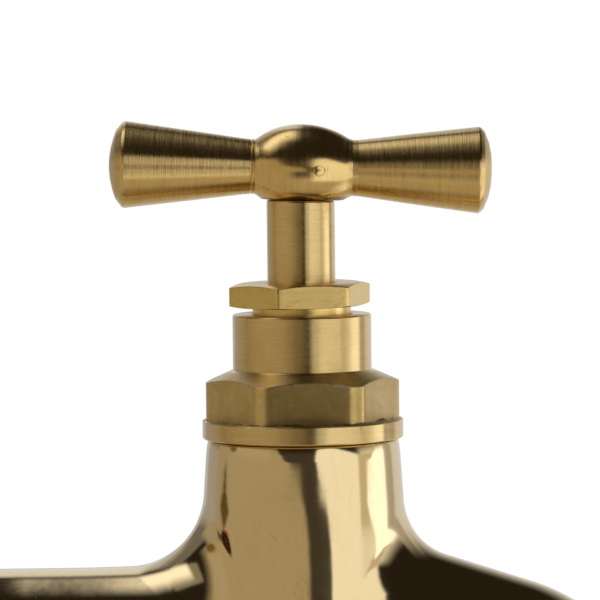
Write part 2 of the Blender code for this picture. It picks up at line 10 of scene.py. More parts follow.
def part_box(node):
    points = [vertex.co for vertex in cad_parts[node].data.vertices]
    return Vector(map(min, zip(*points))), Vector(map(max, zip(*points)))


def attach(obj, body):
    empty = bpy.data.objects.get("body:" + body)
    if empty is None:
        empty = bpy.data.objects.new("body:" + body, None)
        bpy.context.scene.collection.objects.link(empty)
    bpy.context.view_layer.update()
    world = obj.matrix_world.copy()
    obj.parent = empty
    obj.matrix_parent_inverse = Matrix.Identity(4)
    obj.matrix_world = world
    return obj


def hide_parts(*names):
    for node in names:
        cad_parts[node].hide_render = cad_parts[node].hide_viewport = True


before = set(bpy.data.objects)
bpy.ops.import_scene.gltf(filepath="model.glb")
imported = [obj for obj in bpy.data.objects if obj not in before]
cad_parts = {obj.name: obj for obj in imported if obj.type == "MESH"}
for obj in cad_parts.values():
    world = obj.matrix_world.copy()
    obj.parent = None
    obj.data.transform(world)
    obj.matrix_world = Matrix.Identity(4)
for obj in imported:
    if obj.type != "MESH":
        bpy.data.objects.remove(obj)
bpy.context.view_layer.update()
MM = 0.001
TURN = 2 * math.pi


def extent(node):
    """The lowest and highest corners of a CAD node, in millimetres."""
    return [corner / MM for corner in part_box(node)]


BODY_LOW, BODY_HIGH = extent("body")
BONNET_LOW, BONNET_HIGH = extent("bonnet")
GLAND_LOW, GLAND_HIGH = extent("gland_nut")
SPINDLE_LOW, SPINDLE_HIGH = extent("spindle")
HANDLE_LOW, HANDLE_HIGH = extent("tee_handle")
UNION_LOW, UNION_HIGH = extent("union_nut")
TAIL_LOW, TAIL_HIGH = extent("hose_tail")
WASHER_LOW, WASHER_HIGH = extent("inlet_washer")
FOLLOWER_LOW, FOLLOWER_HIGH = extent("gland_washer")
TAP_X = (FOLLOWER_LOW.x + FOLLOWER_HIGH.x) / 2
OUTLET_X = (TAIL_LOW.x + TAIL_HIGH.x) / 2
HANDLE_Z = (HANDLE_LOW.z + HANDLE_HIGH.z) / 2
LEAN = math.radians(1.5)

# Casting, in millimetres from the tap's axis or from the inlet's
ARM_R = 10.5
SPOUT_R = 12.5
SPOUT_BORE_R = 9.0
INLET_BORE_R = 6.5
CHAMBER_R = 11.0
FALL = math.radians(18)
BEND_R = 16.5
BEND_Z = -19.8
ARM_FILLET = 10.9
SPOUT_FILLET = 9.0
ARM_CUT_X = 12.0
OUTLET_CUT_Z = -24.0
RIM_CUT_Z = 27.6
CHAMBER_CUT_Z = 15.5
GRID = 0.55
BARREL_R = 15.2
EGG_START_Z = -3.5  # below it the barrel closes in an egg shape
EGG_DEPTH = 12.0
SHOULDER_R = 13.5
INLET_THREAD_R = 20.955 / 2
OUTLET_THREAD_R = 26.441 / 2
SEAT_HOLE_R, SEAT_R, SEAT_Z = 6.35, 8.3, 5.5
RECESS_R, RECESS_DEPTH = 13.5, 1.5  # for the bonnet's washer
MOUTH_R, MOUTH_LOW_Z = 12.0, 17.6
G_PITCH = 1.814  # 14 threads an inch
G_DEPTH = 1.15

# Turned and milled pieces, in millimetres
WELD = 0.002
BONNET_FLATS, BONNET_CORNER_R = 26.1, 14.55
BONNET_TURN = math.radians(4.6)
FLANGE_R, FLANGE_HEIGHT = 15.1, 3.0
BOX_R, BOX_BORE_R = 10.42, 7.7  # the stuffing box
CONE_R, CONE_HEIGHT, CONE_SLOPE = 10.22, 10.6, 0.4388
GLAND_FLATS, GLAND_CORNER_R = 18.8, 10.8
GLAND_COLLAR_R, GLAND_BORE_R, GLAND_CONE_R, GLAND_HEX_Z = 7.4, 5.4, 9.0, 49.9
GLAND_TURN = math.radians(12)
GLAND_TILT = math.radians(0.7)
GLAND_SHIFT = -0.28
SPINDLE_R, SPINDLE_THREAD_R, SPINDLE_PITCH = 5.1, 5.9, 2.5
HUB_R, NECK_R, HUB_HALF = 6.45, 4.2, 7.3
HUB_SHIFT = 0.26
HUB_FLAT = 4.85  # from the handle's axis down to the flat under its hub
HUB_GAP = 0.08
HUB_REACH = 10
HUB_LEFT, HUB_RIGHT = -6.5, 7.2
PIN_R, PIN_X, PIN_DROP = 0.8, 2.8, 0.4
UNION_FLATS = 32.0
TAIL_FLANGE_R, TAIL_NECK_R, TAIL_BORE_R = 12.6, 8.8, 4.8
TAIL_NECK_Z = -51.0
BARB_R, BARB_ROOT_R, BARB_PITCH, BARBS = 7.4, 6.2, 5.2, 5


# ---------------------------------------------------------------- mesh tools


@contextmanager
def edited(mesh):
    """The mesh opened for editing, and written back afterwards."""
    shape = bmesh.new()
    shape.from_mesh(mesh)
    yield shape
    shape.to_mesh(mesh)
    shape.free()


def new_mesh(name, points, faces):
    mesh = bpy.data.meshes.new(name)
    mesh.from_pydata([tuple(p) for p in points], [], faces)
    return mesh


def linked(name, data):
    obj = bpy.data.objects.new(name, data)
    bpy.context.scene.collection.objects.link(obj)
    return obj


def add_object(name, vertices, faces, body, node, slot):
    """A mesh piece in millimetres, riding on a body and standing for a CAD node."""
    mesh = new_mesh(name, vertices * MM, faces)
    mesh.validate()
    obj = linked(name, mesh)
    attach(obj, body)
    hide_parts(node)
    return obj


def soften(points, radii, steps=4):
    """The polyline with its corners rounded. A radius of 0 keeps a corner."""
    made = []
    last = len(points) - 1
    for i, (point, radius) in enumerate(zip(points, radii)):
        here = np.array(point, float)
        if radius <= 0 or i in (0, last):
            made.append(tuple(here))
            continue
        back, ahead = np.array(points[i - 1]) - here, np.array(points[i + 1]) - here
        len_b, len_a = np.linalg.norm(back), np.linalg.norm(ahead)
        back, ahead = back / len_b, ahead / len_a
        half = math.acos(max(-1, min(1, float(back @ ahead)))) / 2
        if math.tan(half) > 1e4:
            made += [tuple(here)] * (steps + 1)
            continue
        reach = min(radius / math.tan(half), 0.45 * len_b, 0.45 * len_a)
        true_r = reach * math.tan(half)
        centre = here + (back + ahead) / np.linalg.norm(back + ahead) * (true_r / math.sin(half))
        start, end = here + back * reach - centre, here + ahead * reach - centre
        swing = math.atan2(start[0] * end[1] - start[1] * end[0], float(start @ end))
        for k in range(steps + 1):
            a = swing * k / steps
            c, s = math.cos(a), math.sin(a)
            made.append((centre[0] + c * start[0] - s * start[1], centre[1] + s * start[0] + c * start[1]))
    return made


def skin(angles, profile_at, closed):
    """Vertices and quads of a surface swept round Z, from the (r, z) points that profile_at(angle) gives."""
    rings = []
    for angle in angles:
        points = np.array(profile_at(angle), float)
        c, s = math.cos(angle), math.sin(angle)
        rings.append(np.column_stack([points[:, 0] * c, points[:, 0] * s, points[:, 1]]))
    count, rows = len(rings), len(rings[0])
    faces = []
    for i in range(count):
        j = (i + 1) % count
        for k in range(rows if closed else rows - 1):
            m = (k + 1) % rows
            faces.append((i * rows + k, j * rows + k, j * rows + m, i * rows + m))
    return np.vstack(rings), faces


def even_angles(count):
    return [TURN * i / count for i in range(count)]


def hex_angles(turn, per_side=14):
    """Angles round a hexagon, closer together at its corners."""
    made = []
    for side in range(6):
        for k in range(per_side):
            t = (k + 0.5) / per_side * 2 - 1
            bent = math.copysign(1 - (1 - abs(t)) ** 1.9, t)
            made.append(turn + math.radians(60 * side + 30 * bent) - math.pi / 2)
    return sorted(a % TURN for a in made)


def hex_radius(angle, flats, corner_r, turn, soft=0.18):
    """Distance to a hexagon's side, with its corners turned to a radius."""
    off = (angle + math.pi / 2 - turn + math.pi / 6) % (math.pi / 3) - math.pi / 6
    side = flats / 2 / math.cos(off)
    gap = max(0.0, 1 - abs(side - corner_r) / soft)
    return min(side, corner_r) - gap * gap * soft / 4


def moved_by(place, vertices):
    """The vertices moved by a 4x4 matrix in millimetres."""
    matrix = np.array(place)
    return vertices @ matrix[:3, :3].T + matrix[:3, 3]


def welded(mesh):
    with edited(mesh) as shape:
        bmesh.ops.remove_doubles(shape, verts=shape.verts, dist=WELD * MM)
        bmesh.ops.recalc_face_normals(shape, faces=shape.faces)


def piece(name, vertices, faces, body, node, slot, place):
    """One closed object, put in its place by a 4x4 matrix in millimetres."""
    obj = add_object(name, moved_by(place, vertices), faces, body, node, slot)
    welded(obj.data)
    smooth(obj)
    return obj


def smooth(obj, angle=40):
    """Smooth shading that follows the large faces, with edges sharper than an angle kept."""
    obj.data.shade_smooth()
    obj.data.set_sharp_from_angle(angle=math.radians(angle))
    weighted = obj.modifiers.new("weighted", "WEIGHTED_NORMAL")
    weighted.mode = "FACE_AREA"
    weighted.weight = 90
    weighted.keep_sharp = True


def spun(name, points, radii, *where, segments=144, steps=4):
    """A closed turned ring: its outline runs round its section."""
    outline = soften([*points, points[0]], [*radii, 0], steps)[:-1]
    return piece(name, *skin(even_angles(segments), lambda angle: outline, True), *where)


def upright(x):
    return Matrix.Translation((x, 0, 0))


def towards_wall():
    """Local Z runs towards -X, from the shoulder to the wall."""
    return Matrix.Rotation(-math.pi / 2, 4, "Y")


def thread_dip(angle, z, low, high, pitch, depth, fade):
    """How far a right-hand thread's groove lies under the crest at a place on the cylinder."""
    phase = (z / pitch - angle / TURN) % 1.0
    slope = abs(2 * phase - 1)
    cut = min(1.0, max(0.0, 1.25 * slope - 0.12))
    cut = cut * cut * (3 - 2 * cut) * 0.35 + cut * 0.65
    run = min(1.0, max(0.0, (z - low) / fade)) * min(1.0, max(0.0, (high - z) / fade))
    return depth * cut * run


# ---------------------------------------------------------------- the casting


def barrel_radius(z):
    """Straight below, with a slight taper above that starts gently, and buffed over towards the rim."""
    taper = 0.07 * 1.6 * np.log1p(np.exp((z - 19.2) / 1.6))
    return BARREL_R - taper - 0.15 * np.exp((z - BODY_HIGH.z) / 0.75)


def round_union(a, b, radius):
    """Two shapes joined with a circular fillet."""
    u, v = np.maximum(radius - a, 0), np.maximum(radius - b, 0)
    return np.maximum(radius, np.minimum(a, b)) - np.hypot(u, v)


def filleted(a, b, cosine, radius):
    """Two surfaces joined by a ball that rolls along both; cosine is of the angle between their normals."""
    u, v = radius - a, radius - b
    c = np.clip(cosine, -0.98, 0.98)
    away = np.sqrt(np.maximum(u * u + v * v - 2 * c * u * v, 0) / (1 - c * c))
    touches = (u > c * v) & (v > c * u) & (u > 0) & (v > 0)
    return np.where(touches, radius - away, np.minimum(a, b))


def spout_offset(x, z):
    """From the nearest place on the spout's path in the middle plane: falling straight, bend and drop."""
    cx = OUTLET_X - TAP_X - BEND_R
    start = math.pi / 2 - FALL
    px, pz = cx + BEND_R * math.cos(start), BEND_Z + BEND_R * math.sin(start)
    dx, dz = math.cos(FALL), -math.sin(FALL)
    along = np.clip((x - px) * dx + (z - pz) * dz, (7 - px) / dx, 0)
    angle = np.clip(np.arctan2(z - BEND_Z, x - cx), 0, start)
    ways = [
        (x - px - along * dx, z - pz - along * dz),
        (x - cx - BEND_R * np.cos(angle), z - BEND_Z - BEND_R * np.sin(angle)),
        (x - cx - BEND_R, np.maximum(z - BEND_Z, 0)),
    ]
    far = np.stack([np.hypot(*way) for way in ways])
    best = far.argmin(0)
    return [np.choose(best, [way[i] for way in ways]) for i in (0, 1)]


def outside_field(p):
    """Signed distance to the casting's skin, in millimetres."""
    x, y, z = p[..., 0] - TAP_X, p[..., 1], p[..., 2]
    radial = np.maximum(np.hypot(x, y), 1e-6)
    side = radial - barrel_radius(z)
    sink = np.minimum(z - EGG_START_Z, 0)
    egg = (np.sqrt((radial / BARREL_R) ** 2 + (sink / EGG_DEPTH) ** 2) - 1) * 12.6
    barrel = np.where(z < EGG_START_Z, egg, side)
    tilt = sink / EGG_DEPTH**2 * BARREL_R**2
    steep = np.hypot(radial, tilt)
    arm_r = np.maximum(np.hypot(y, z), 1e-6)
    swell = 0.04 * 3.0 * np.log1p(np.exp((np.minimum(x, -20) + 30) / 3.0))
    arm = np.where(x > -7, np.hypot(arm_r, x + 7) - ARM_R, arm_r - ARM_R) - swell
    left = filleted(barrel, arm, (y * y + tilt * z) / (steep * arm_r), ARM_FILLET)
    dx, dz = spout_offset(x, z)
    spout_r = np.maximum(np.sqrt(dx**2 + y**2 + dz**2), 1e-6)
    cosine = (x * dx + y * y + tilt * dz) / (steep * spout_r)
    right = filleted(barrel, spout_r - SPOUT_R, cosine, SPOUT_FILLET)
    return np.minimum(left, right)


def inside_field(p):
    """Signed distance to the waterway, negative in the water."""
    x, y, z = p[..., 0] - TAP_X, p[..., 1], p[..., 2]
    radial = np.hypot(x, y)
    bore = np.maximum(np.hypot(y, z) - INLET_BORE_R, x + 19)
    dip = np.full(x.shape, 1e3)
    path = [(-20, 0, 6.5), (-17, -1.2, 6.3), (-13.5, -3, 5.8), (-9, -4, 5.4), (-1, -4, 5.4)]
    for (x0, z0, r0), (x1, z1, r1) in zip(path[:-1], path[1:]):
        span = np.hypot(x1 - x0, z1 - z0)
        t = np.clip(((x - x0) * (x1 - x0) + (z - z0) * (z1 - z0)) / span**2, 0, 1)
        near = np.sqrt((x - x0 - t * (x1 - x0)) ** 2 + (z - z0 - t * (z1 - z0)) ** 2 + y**2)
        dip = np.minimum(dip, near - r0 - t * (r1 - r0))
    bowl = np.sqrt(radial**2 + (z + 4) ** 2) - 7
    hole = np.maximum(radial - SEAT_HOLE_R, np.abs(z - 1) - 5.5)
    chamber = np.maximum(radial - CHAMBER_R, 3.5 - z)
    chamber = np.maximum(chamber, -np.maximum(radial - SEAT_R, z - SEAT_Z))
    port = (np.sqrt((y / 6.5) ** 2 + ((z - 7.8) / 4) ** 2) - 1) * 4
    port = np.maximum(port, np.abs(x - 12.8) - 4.2)
    dx, dz = spout_offset(x, z)
    spout = np.maximum(np.sqrt(dx**2 + y**2 + dz**2) - SPOUT_BORE_R, 11.5 - x)
    found = round_union(bore, dip, 1.0)
    found = round_union(found, bowl, 1.0)
    found = np.minimum(found, hole)
    found = np.minimum(found, chamber)
    found = round_union(found, port, 0.8)
    return np.minimum(found, spout)


def gradient(field, points, reach=0.02):
    parts = []
    for axis in range(3):
        step = np.zeros(3)
        step[axis] = reach
        parts.append(field(points + step) - field(points - step))
    made = np.stack(parts, -1) / (2 * reach)
    return made, np.maximum(np.linalg.norm(made, axis=-1, keepdims=True), 1e-9)


def surface_net(field, low, high, step):
    """Quads of a field's zero surface: a vertex in each cell that it crosses, moved on to the surface."""
    axes = [np.arange(low[i], high[i] + step, step) for i in range(3)]
    lattice = np.stack(np.meshgrid(*axes, indexing="ij"), -1)
    values = field(lattice)
    cells = tuple(n - 1 for n in values.shape)
    total, hits = np.zeros((*cells, 3)), np.zeros(cells)
    corners = [(i, j, k) for i in (0, 1) for j in (0, 1) for k in (0, 1)]

    def at(corner, array):
        return array[tuple(slice(first, first + size) for first, size in zip(corner, cells))]

    for a in corners:
        for axis in range(3):
            if a[axis]:
                continue
            b = tuple(v + (i == axis) for i, v in enumerate(a))
            va, vb = at(a, values), at(b, values)
            crosses = (va < 0) != (vb < 0)
            share = np.where(crosses, va / np.where(crosses, va - vb, 1), 0)[..., None]
            pa, pb = at(a, lattice), at(b, lattice)
            total += np.where(crosses[..., None], pa + (pb - pa) * share, 0)
            hits += crosses
    used = hits > 0
    index = np.full(cells, -1)
    index[used] = np.arange(used.sum())
    points = total[used] / hits[used][:, None]
    for _ in range(4):
        slope, size = gradient(field, points)
        points = points - slope / size * (field(points)[:, None] / size)
    faces = []
    inside = values < 0
    for axis in range(3):
        u, v = [i for i in range(3) if i != axis]
        first = np.take(inside, range(cells[axis]), axis)
        second = np.take(inside, range(1, cells[axis] + 1), axis)
        for i, j, k in np.argwhere(first != second):
            at_edge = [i, j, k]
            if min(at_edge[u], at_edge[v]) < 1 or at_edge[u] >= cells[u] or at_edge[v] >= cells[v]:
                continue
            ring = []
            for du, dv in ((0, 0), (1, 0), (1, 1), (0, 1)):
                cell = list(at_edge)
                cell[u] -= du
                cell[v] -= dv
                ring.append(int(index[tuple(cell)]))
            turned = first[i, j, k] != (axis == 1)
            faces.append(tuple(ring if turned else ring[::-1]))
    return points, faces


def trimmed(points, faces, cuts):
    """The surface cut by planes, each given as a point and the direction that is thrown away."""
    mesh = new_mesh("trim", points, faces)
    shape = bmesh.new()
    shape.from_mesh(mesh)
    for point, away in cuts:
        geometry = [*shape.verts, *shape.edges, *shape.faces]
        bmesh.ops.bisect_plane(
            shape, geom=geometry, plane_co=point, plane_no=away, clear_outer=True, dist=0.03
        )
    bmesh.ops.delete(shape, geom=[v for v in shape.verts if not v.link_faces], context="VERTS")
    shape.verts.index_update()
    made = np.array([v.co for v in shape.verts])
    kept = [tuple(v.index for v in f.verts) for f in shape.faces]
    shape.free()
    bpy.data.meshes.remove(mesh)
    return made, kept


def zipped(points, loop_a, loop_b, centre, axis):
    """Triangles between two rings of vertices round one axis, and nothing more."""
    u, v = [i for i in range(3) if i != axis]

    def ordered(loop):
        return sorted(
            ((math.atan2(points[i][v] - centre[v], points[i][u] - centre[u]) % TURN, i) for i in loop)
        )

    a, b = ordered(loop_a), ordered(loop_b)
    faces, i, j = [], 0, 0
    while i < len(a) or j < len(b):
        next_a = a[(i + 1) % len(a)][0] + TURN * ((i + 1) // len(a))
        next_b = b[(j + 1) % len(b)][0] + TURN * ((j + 1) // len(b))
        if i < len(a) and (j >= len(b) or next_a <= next_b):
            faces.append((a[i % len(a)][1], a[(i + 1) % len(a)][1], b[j % len(b)][1]))
            i += 1
        else:
            faces.append((b[(j + 1) % len(b)][1], b[j % len(b)][1], a[i % len(a)][1]))
            j += 1
    return faces


def inlet_section():
    """The arm's end, about the inlet's axis: heights run from the casting towards the wall."""
    end = -BODY_LOW.x
    rows = np.arange(2.8, end - 0.01, 0.13)
    outer = soften(
        [(ARM_R, -ARM_CUT_X), (ARM_R, -5), (SHOULDER_R, -2.7), (SHOULDER_R, 0)]
        + [(9.3, 0), (9.3, 2), (9.75, 2.8)],
        [0, 1.6, 0.5, 0.35, 0.3, 0.4, 0],
    )[:-1]
    inner = soften(
        [(9.2, end), (INLET_BORE_R, end), (INLET_BORE_R, end - 4), (INLET_BORE_R, -ARM_CUT_X)],
        [0, 0.45, 0, 0],
    )

    def at(angle):
        made = list(outer)
        for z in rows:
            limit = min(INLET_THREAD_R, 9.4 + (end - z) * 0.95, 9.6 + (z - 2.8) * 1.2)
            dip = thread_dip(angle, z, 2.2, end + 2, G_PITCH, G_DEPTH, 1.6)
            made.append((min(limit, INLET_THREAD_R - dip), z))
        return made + inner

    return at


def outlet_section():
    """The spout's end, about the outlet's axis."""
    end = BODY_LOW.z
    rows = np.arange(-29.2, end + 0.01, -0.13)
    inner = soften(
        [(11.9, end), (SPOUT_BORE_R, end), (SPOUT_BORE_R, end + 4), (SPOUT_BORE_R, OUTLET_CUT_Z)],
        [0, 0.4, 0, 0],
    )

    def at(angle):
        made = [(SPOUT_R, OUTLET_CUT_Z), (SPOUT_R, -27), (SPOUT_R, -28.9)]
        for z in rows:
            limit = min(OUTLET_THREAD_R, 12.1 + (z - end) * 0.95, 12.45 + (-29.1 - z) * 0.8)
            dip = thread_dip(angle, z, end - 2, -28.9, G_PITCH, G_DEPTH, 1.6)
            made.append((min(limit, OUTLET_THREAD_R - dip), z))
        return made + inner

    return at


def rim_section():
    """The casting's mouth, about the tap's axis."""
    top = BODY_HIGH.z
    points = soften(
        [
            (float(barrel_radius(RIM_CUT_Z)), RIM_CUT_Z),
            (float(barrel_radius(28.5)), 28.5),
            (float(barrel_radius(top)), top),
            (RECESS_R, top),
            (RECESS_R, top - RECESS_DEPTH),
            (MOUTH_R, top - RECESS_DEPTH),
            (MOUTH_R, MOUTH_LOW_Z),
            (CHAMBER_R, MOUTH_LOW_Z),
            (CHAMBER_R, CHAMBER_CUT_Z),
        ],
        [0, 0, 0.35, 0.12, 0.1, 0.3, 0.1, 0.2, 0],
    )
    return lambda angle: points


def casting():
    """One closed skin: two field surfaces, outside and waterway, joined through three turned ends."""
    margin = 2.0

    def net(field, side, end_x, top):
        """The field's surface, open at the inlet's end, the outlet's end and the top."""
        low = (ARM_CUT_X - margin, -side, OUTLET_CUT_Z - margin)
        made = surface_net(field, low, (end_x, side, top + margin), GRID)
        cuts = [((ARM_CUT_X, 0, 0), (-1, 0, 0)), ((0, 0, OUTLET_CUT_Z), (0, 0, -1)), ((0, 0, top), (0, 0, 1))]
        return trimmed(*made, cuts)

    outside = net(outside_field, 17.6, OUTLET_X + 14, RIM_CUT_Z)
    inside = net(inside_field, 12.6, OUTLET_X + 11, CHAMBER_CUT_Z)
    ends = [
        (inlet_section(), towards_wall(), 0, (0, 0, 0)),
        (outlet_section(), upright(OUTLET_X), 2, (OUTLET_X, 0, 0)),
        (rim_section(), upright(TAP_X), 2, (TAP_X, 0, 0)),
    ]
    points = [outside[0], inside[0]]
    faces = list(outside[1]) + [tuple(i + len(outside[0]) for i in f[::-1]) for f in inside[1]]
    base = len(outside[0]) + len(inside[0])
    field_count = base
    rings = []
    segments = 128
    for section, place, axis, centre in ends:
        vertices, quads = skin(even_angles(segments), section, False)
        rows = len(vertices) // segments
        points.append(moved_by(place, vertices))
        faces += [tuple(i + base for i in f) for f in quads]
        first = [base + i * rows for i in range(segments)]
        last = [base + i * rows + rows - 1 for i in range(segments)]
        rings.append((axis, centre, first, last))
        base += len(vertices)
    points = np.vstack(points)
    edges = {}
    for f in faces[: len(outside[1]) + len(inside[1])]:
        for a, b in zip(f, f[1:] + f[:1]):
            key = (min(a, b), max(a, b))
            edges[key] = edges.get(key, 0) + 1
    rim = np.array(sorted({i for key, used in edges.items() if used == 1 for i in key}))
    is_outside = rim < len(outside[0])
    planes = [(0, ARM_CUT_X, ARM_CUT_X), (2, OUTLET_CUT_Z, OUTLET_CUT_Z), (2, RIM_CUT_Z, CHAMBER_CUT_Z)]
    radii = [(ARM_R, INLET_BORE_R), (SPOUT_R, SPOUT_BORE_R), (float(barrel_radius(RIM_CUT_Z)), CHAMBER_R)]
    for (axis, centre, first, last), (plane_axis, out_at, in_at), (out_r, in_r) in zip(rings, planes, radii):
        for loop, at, radius, mine in ((first, out_at, out_r, is_outside), (last, in_at, in_r, ~is_outside)):
            near = rim[mine & (np.abs(points[rim, plane_axis] - at) < 0.05)]
            others = [i for i in range(3) if i != axis]
            flat = points[near][:, others] - np.array(centre)[others]
            length = np.linalg.norm(flat, axis=1)
            near = near[np.abs(length - radius) < 1.5]
            flat = flat[np.abs(length - radius) < 1.5]
            flat *= (radius / np.linalg.norm(flat, axis=1))[:, None]
            for column, i in enumerate(others):
                points[near, i] = flat[:, column] + centre[i]
            points[near, plane_axis] = at
            faces += zipped(points, list(near), loop, centre, axis)
    obj = add_object("tap_casting", points, faces, "tap_body", "body", "polished_brass")
    with edited(obj.data) as shape:
        bmesh.ops.recalc_face_normals(shape, faces=shape.faces)
    set_field_normals(obj, len(outside[0]), field_count)
    return obj


def read(items, attribute, width, kind=float):
    made = np.zeros(len(items) * width, kind)
    items.foreach_get(attribute, made)
    return made.reshape(-1, width)


def set_field_normals(obj, outside_count, field_count):
    """Shading normals straight from the fields, where the mesh comes from them: reflections run smoothly."""
    mesh = obj.data
    mesh.shade_smooth()
    mesh.set_sharp_from_angle(angle=math.radians(40))
    corners = read(mesh.corner_normals, "vector", 3)
    owner = read(mesh.loops, "vertex_index", 1, int)[:, 0]
    places = read(mesh.vertices, "co", 3) / MM
    for start, stop, field, sign in (
        (0, outside_count, outside_field, 1),
        (outside_count, field_count, inside_field, -1),
    ):
        slope, size = gradient(field, places[start:stop])
        wanted = slope / size * sign
        mine = (owner >= start) & (owner < stop)
        found = wanted[owner[mine] - start]
        agrees = (found * corners[mine]).sum(1) > 0.6
        corners[mine] = np.where(agrees[:, None], found, corners[mine])
    mesh.normals_split_custom_set([tuple(c) for c in corners])


# ---------------------------------------------------------------- turned and milled pieces


def knocked(angle, knocks):
    """How deep the small knocks in an edge go at an angle. Each is (degrees, depth, width)."""
    depth = 0.0
    for where, deep, width in knocks:
        off = (math.degrees(angle) - where + 180) % 360 - 180
        depth += deep * math.exp(-((off / width) ** 2))
    return depth


def bonnet():
    top, low = BONNET_HIGH.z, BONNET_LOW.z
    flange_low, flange_top = BODY_HIGH.z + 0.2, BODY_HIGH.z + FLANGE_HEIGHT
    cone_top = BODY_HIGH.z + CONE_HEIGHT
    knocks = [(-118, 0.12, 2.2), (-97, 0.08, 1.6), (-71, 0.1, 1.2), (-33, 0.14, 2.5)]
    knocks += [(25, 0.1, 2), (96, 0.12, 3), (171, 0.09, 2)]
    inner = [(11.6, flange_low), (11.6, low + 0.8), (10.6, low), (6.2, low), (6.2, 34), (5.4, 34)]
    inner += [(5.4, 36.5), (BOX_BORE_R, 36.5), (BOX_BORE_R, top), (BOX_R, top)]
    radii = [0, 0.32, 0.25, 0.22, 0.12, 0.22, 0.15, 0.15, 0.2, 0.3, 0.3, 0.3, 0.2, 0.1, 0.1, 0.3, 0.35, 0]

    def at(angle):
        corner = hex_radius(angle, BONNET_FLATS, BONNET_CORNER_R, BONNET_TURN)
        edge = cone_top - CONE_SLOPE * (corner - CONE_R)
        flange = FLANGE_R - knocked(angle, knocks)
        points = [(BOX_BORE_R, top), (BOX_R, top), (BOX_R, cone_top - 0.09), (corner, edge)]
        points += [(corner, flange_top), (flange, flange_top)]
        points += [(flange, flange_low + 0.2), (flange - 0.2, flange_low)]
        return soften([*points, *inner], radii)[1:-1]

    made = skin(hex_angles(BONNET_TURN, 26), at, True)
    return piece("bonnet_milled", *made, "tap_body", "bonnet", "turned_brass", upright(TAP_X))


def gland_nut():
    """Its hexagon sits a little off centre and out of square, as it was milled."""
    top, low = GLAND_HIGH.z, GLAND_LOW.z
    collar = [(GLAND_COLLAR_R, low + 0.5), (GLAND_COLLAR_R - 0.5, low)]
    collar += [(GLAND_BORE_R, low), (GLAND_BORE_R, top), (GLAND_CONE_R, top)]
    radii = [0, 0.3, 0.14, 0.12, 0.05, 0.15, 0.2, 0.2, 0.2, 0.35, 0]

    def at(angle):
        radius = hex_radius(angle, GLAND_FLATS, GLAND_CORNER_R, GLAND_TURN, 0.1)
        cone = top - 0.26 * (radius - GLAND_CONE_R)
        foot = GLAND_HEX_Z + 0.2 * max(0.0, radius - 9.6)
        points = [(GLAND_BORE_R, top), (GLAND_CONE_R, top), (radius, cone), (radius, foot)]
        points += [(min(9.4, radius - 0.2), GLAND_HEX_Z), (GLAND_COLLAR_R, GLAND_HEX_Z)]
        return soften([*points, *collar], radii, 3)[1:-1]

    vertices, faces = skin(hex_angles(GLAND_TURN, 22), at, True)
    on_hex = vertices[:, 2] > GLAND_HEX_Z - 0.05
    outer = on_hex & (np.hypot(vertices[:, 0], vertices[:, 1]) > 7.6)
    vertices[outer, 0] += GLAND_SHIFT
    vertices[:, 2] += np.where(on_hex, vertices[:, 0] * math.tan(GLAND_TILT), 0)
    vertices[:, 2] = np.minimum(vertices[:, 2] - 0.05 * on_hex, top)
    where = "gland_screw", "gland_nut", "milled_brass", upright(TAP_X)
    return piece("gland_nut_milled", vertices, faces, *where)


def spindle():
    top, low = SPINDLE_HIGH.z, SPINDLE_LOW.z
    under_hub = HANDLE_Z - HUB_FLAT - HUB_GAP
    rows = list(np.arange(16.0, 27.01, 0.2))

    def at(angle):
        off = (angle + math.pi / 4) % (math.pi / 2) - math.pi / 4
        square = min(3.2 / math.cos(off), 4.25)
        fall = math.tan(LEAN) * math.cos(angle)
        upper = [(0, top), (square - 0.3, top), (square, top - 0.3), (square, under_hub - square * fall)]
        upper += [(SPINDLE_R, under_hub - SPINDLE_R * fall), (SPINDLE_R, 27.8)]
        made = soften(upper, [0, 0.1, 0.1, 0.15, 0.3, 0], 3)
        for z in reversed(rows):
            dip = thread_dip(angle, z, 15.4, 27.6, SPINDLE_PITCH, 0.95, 1.0)
            made.append((SPINDLE_THREAD_R - dip - 0.5 * (z < 16.3), z))
        lower = [(SPINDLE_R, 15.2), (SPINDLE_R, low), (3.2, low), (3.2, 20.5), (0, 20.5)]
        return made + soften(lower, [0, 0.3, 0.25, 0.2, 0], 3)

    where = "spindle_and_handle", "spindle", "turned_brass", upright(TAP_X)
    return piece("spindle_turned", *skin(even_angles(120), at, False), *where)


def hub_radius(x):
    """The hub is a barrel: one arc from neck to neck."""
    rise = HUB_R - NECK_R
    arc_r = (HUB_HALF**2 + rise**2) / (2 * rise)
    return HUB_R - arc_r + math.sqrt(arc_r**2 - x**2)


